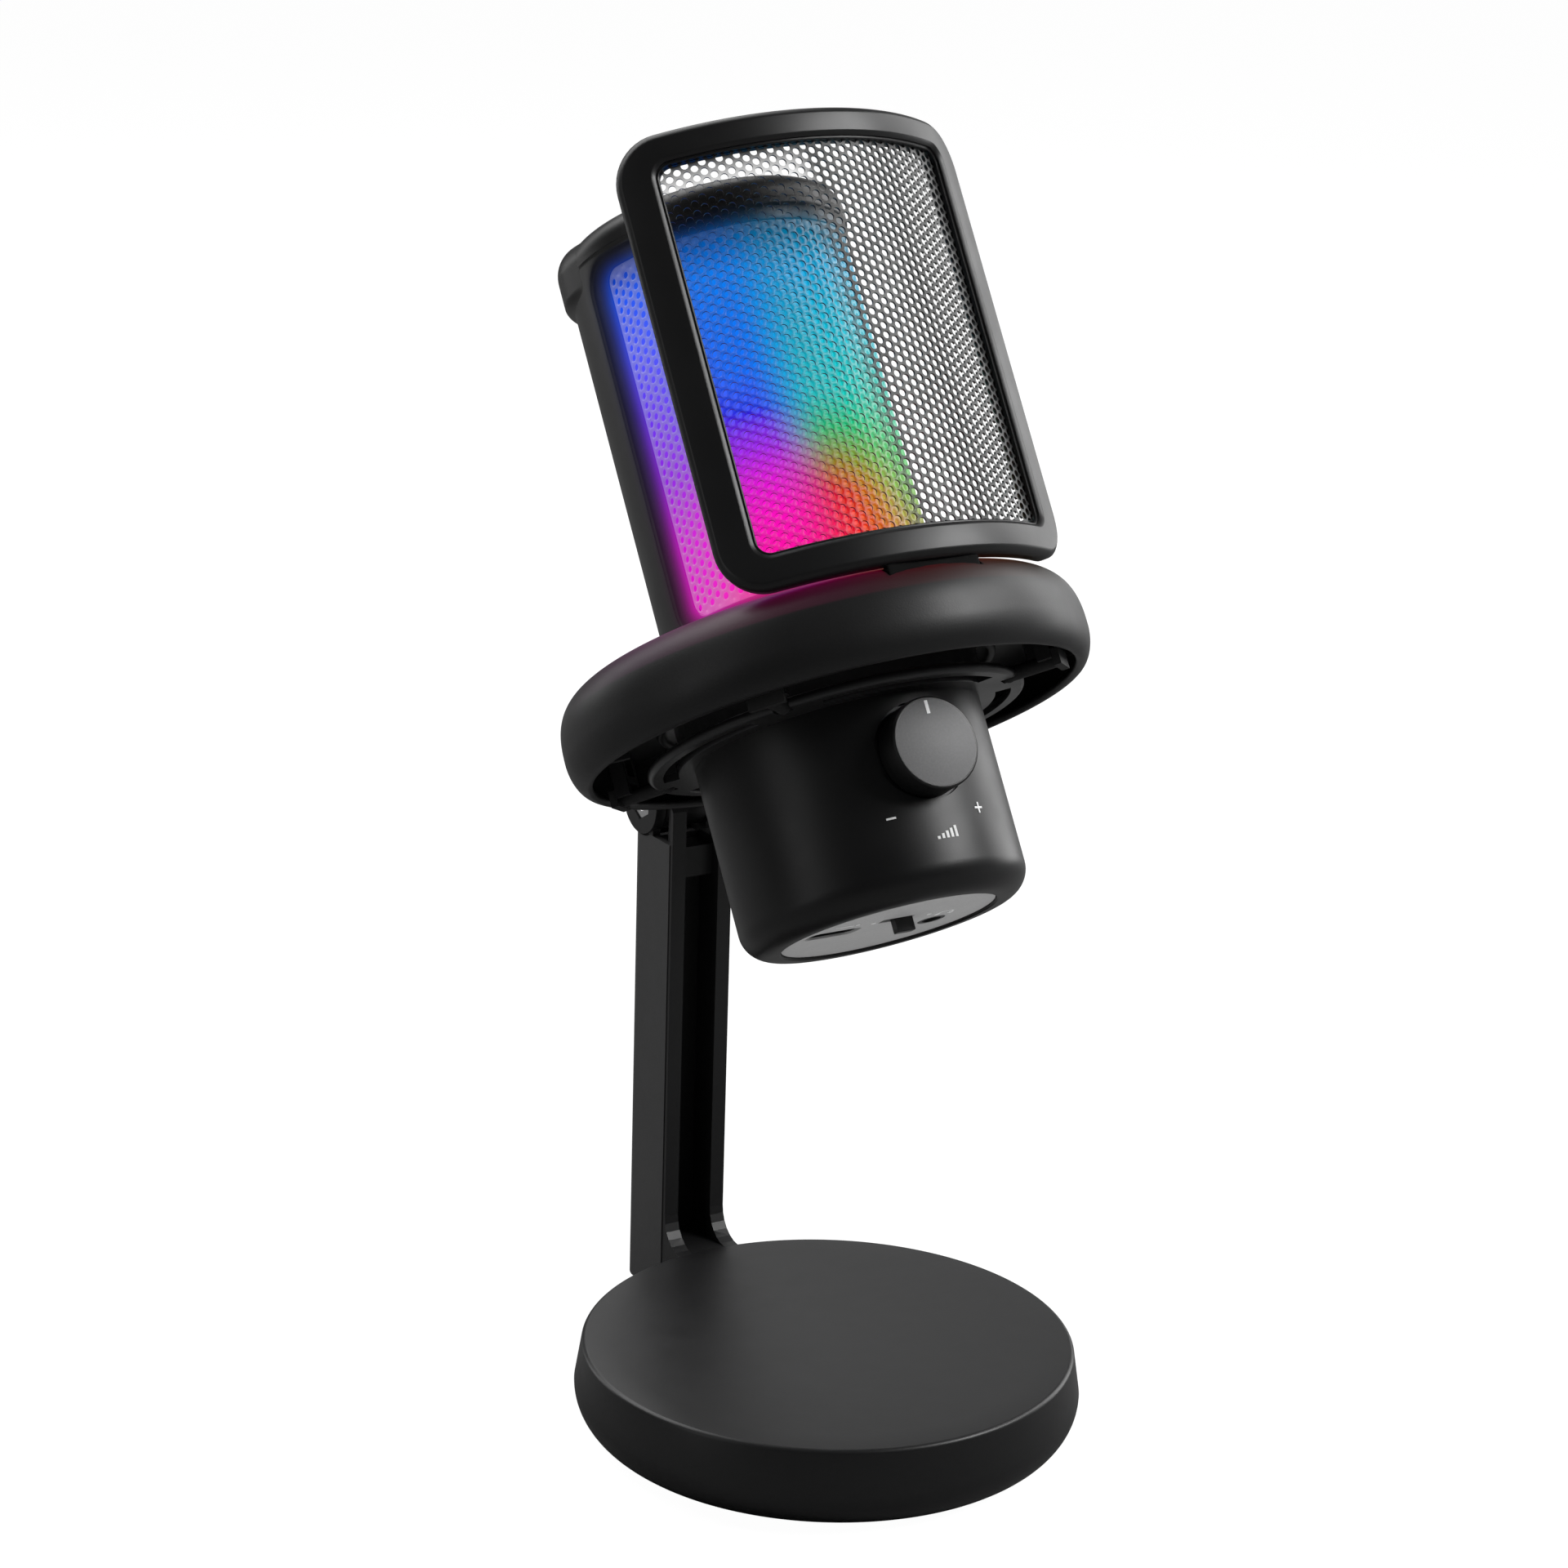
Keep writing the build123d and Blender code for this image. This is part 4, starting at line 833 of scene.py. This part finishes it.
def see_through(material, straight, glancing):
    """Thin wires let some of the lamp's light round them: most where the sheet faces the eye, hardly any at a
    slant, and none above the body, where "spill" is nought. The rear side of each wire adds nothing, so it
    counts once."""
    node, link = material.node_tree.nodes, material.node_tree.links
    shader, out = node["Principled BSDF"], node["Material Output"]
    clear = node.new("ShaderNodeBsdfTransparent")
    slant = node.new("ShaderNodeLayerWeight")
    slant.inputs["Blend"].default_value = 0.5
    share = map_range(node, 0.155, 0.195, straight, glancing)
    side = node.new("ShaderNodeNewGeometry")
    reach = node.new("ShaderNodeAttribute")
    reach.attribute_name = "spill"
    near = maths(node, "MULTIPLY")
    either = maths(node, "MAXIMUM")
    blend = node.new("ShaderNodeMixShader")
    link.new(slant.outputs["Facing"], share.inputs["Value"])
    link.new(share.outputs["Result"], near.inputs[0])
    link.new(reach.outputs["Fac"], near.inputs[1])
    link.new(near.outputs["Value"], either.inputs[0])
    link.new(side.outputs["Backfacing"], either.inputs[1])
    link.new(either.outputs["Value"], blend.inputs[0])
    link.new(shader.outputs[0], blend.inputs[1])
    link.new(clear.outputs[0], blend.inputs[2])
    link.new(blend.outputs[0], out.inputs["Surface"])
    return material


screen_column, screen_pitch, screen_hole, screen_thick = 1.507, 1.74, 0.67, 0.38
points, faces, _ = punched(open_half + 1.4, open_low - 1.2, open_high + 1.0, screen_column, screen_pitch,
                           screen_hole, split_r - 0.02, filter_y)
lamp_high, fade_high = 90.5, 5
below_cap = np.clip((lamp_high - points[:, 2]) / fade_high, 0, 1)
screen = make_piece("filter_screen", in_head(points), faces, "pop_filter", outward=False,
                    spill=below_cap)
screen.data.shade_flat()
finish_with(screen, see_through(filter_steel, 0.85, 0.0), thick=screen_thick)
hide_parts("filter_mesh")

# ----------------------------------------------------------------
# Studio. A wide pale floor, broad soft lights overhead, behind and at both sides so that the black
# plastic is drawn by its edges, and a long-lens camera in front on the left, a little above the top.
# ----------------------------------------------------------------
floor_half = 6
floor_mesh = bpy.data.meshes.new("floor")
corners = [(x * floor_half, y * floor_half, 0) for x, y in ((-1, -1), (1, -1), (1, 1), (-1, 1))]
floor_mesh.from_pydata(corners, [], [(0, 1, 2, 3)])
floor = bpy.data.objects.new("floor", floor_mesh)
bpy.context.collection.objects.link(floor)
# The camera sees the paper mostly lit from within. Every other ray meets plain grey, darker for reflections,
# so that the black plastic near the floor stays black.
paper = moulded("paper", (0.86, 0.86, 0.86), (0.9, 0.9, 0.9), (0.8, 0.9), 60.0, 3.0, 0.01, 0.1)
node, link = paper.node_tree.nodes, paper.node_tree.links
paper_shader, paper_out = node["Principled BSDF"], node["Material Output"]
seen = node.new("ShaderNodeLightPath")
bright = node.new("ShaderNodeEmission")
bright.inputs["Strength"].default_value = 1.11
bounce = node.new("ShaderNodeBsdfDiffuse")
mirrored = node.new("ShaderNodeMix")
mirrored.data_type = "RGBA"
mirrored.inputs[6].default_value = (0.75, 0.75, 0.75, 1)
mirrored.inputs[7].default_value = (0.2, 0.2, 0.2, 1)
shade = node.new("ShaderNodeMixShader")
shade.inputs[0].default_value = 0.88
choose = node.new("ShaderNodeMixShader")
link.new(paper_shader.outputs[0], shade.inputs[1])
link.new(bright.outputs[0], shade.inputs[2])
link.new(seen.outputs["Is Glossy Ray"], mirrored.inputs[0])
link.new(mirrored.outputs[2], bounce.inputs["Color"])
link.new(seen.outputs["Is Camera Ray"], choose.inputs[0])
link.new(bounce.outputs[0], choose.inputs[1])
link.new(shade.outputs[0], choose.inputs[2])
link.new(choose.outputs[0], paper_out.inputs["Surface"])
floor.data.materials.append(paper)

world = bpy.data.worlds.new("studio")
world.use_nodes = True
bpy.context.scene.world = world
node, link = world.node_tree.nodes, world.node_tree.links
room = node["Background"]
room.inputs["Color"].default_value = (0.9, 0.9, 0.92, 1)
room.inputs["Strength"].default_value = 0.07
backdrop = node.new("ShaderNodeBackground")
backdrop.inputs["Color"].default_value = (0.985, 0.985, 0.985, 1)
seen = node.new("ShaderNodeLightPath")
choose = node.new("ShaderNodeMixShader")
link.new(seen.outputs["Is Camera Ray"], choose.inputs[0])
link.new(room.outputs[0], choose.inputs[1])
link.new(backdrop.outputs[0], choose.inputs[2])
link.new(choose.outputs[0], node["World Output"].inputs["Surface"])


def soft_light(name, place, target, size, power):
    """Rectangular soft light aimed from one point at another. Sizes are in metres, power in watts."""
    lamp = bpy.data.lights.new(name, "AREA")
    lamp.shape = "RECTANGLE"
    lamp.size, lamp.size_y = size
    lamp.energy = power
    holder = bpy.data.objects.new(name, lamp)
    aim = np.array(target, dtype=float) - np.array(place, dtype=float)
    aim /= np.linalg.norm(aim)
    side = np.cross(aim, (0, 0, 1.0))
    side = side / np.linalg.norm(side) if np.linalg.norm(side) > 1e-6 else np.array([1.0, 0, 0])
    top = np.cross(side, aim)
    turn = Matrix(np.column_stack([side, top, -aim]).tolist()).to_4x4()
    turn.translation = place
    holder.matrix_world = turn
    bpy.context.collection.objects.link(holder)


soft_light("overhead", (-0.15, 0.75, 1.0), (0, 0, 0.1), (1.4, 0.7), 10)
soft_light("right_side", (1.1, 0.15, 0.4), (0, 0, 0.15), (0.6, 1.1), 8)
soft_light("left_rear", (-0.5, 1.1, 0.45), (0, 0, 0.15), (0.4, 1.0), 3)
soft_light("left_side", (-1.1, -0.05, 0.45), (0, 0, 0.15), (0.35, 1.0), 1.2)
soft_light("right_high", (0.7, -0.55, 0.84), (0, 0, 0.16), (0.55, 0.4), 10)
soft_light("right_rear", (0.6, 1.0, 0.42), (0, 0, 0.1), (0.7, 0.4), 0.5)
soft_light("right_low", (1.0, 0.75, 0.16), (0, 0, 0.15), (0.3, 0.2), 0.4)

look_from = (-0.34712, -0.54845, 0.32211)
look_yaw, look_down, look_roll = radians(-31.36), radians(17.21), radians(1.73)
ahead = np.array([-sin(look_yaw) * cos(look_down), cos(look_yaw) * cos(look_down), -sin(look_down)])
level = np.array([cos(look_yaw), sin(look_yaw), 0.0])
upright = np.cross(level, ahead)
cam_right = level * cos(look_roll) + upright * sin(look_roll)
cam_up = -level * sin(look_roll) + upright * cos(look_roll)
lens = bpy.data.cameras.new("camera")
lens.lens = 89.9
lens.clip_start, lens.clip_end = 0.01, 50
camera = bpy.data.objects.new("camera", lens)
stand_at = Matrix(np.column_stack([cam_right, cam_up, -ahead]).tolist()).to_4x4()
stand_at.translation = look_from
camera.matrix_world = stand_at
bpy.context.collection.objects.link(camera)
bpy.context.scene.camera = camera
bpy.context.scene.view_settings.view_transform = "Standard"
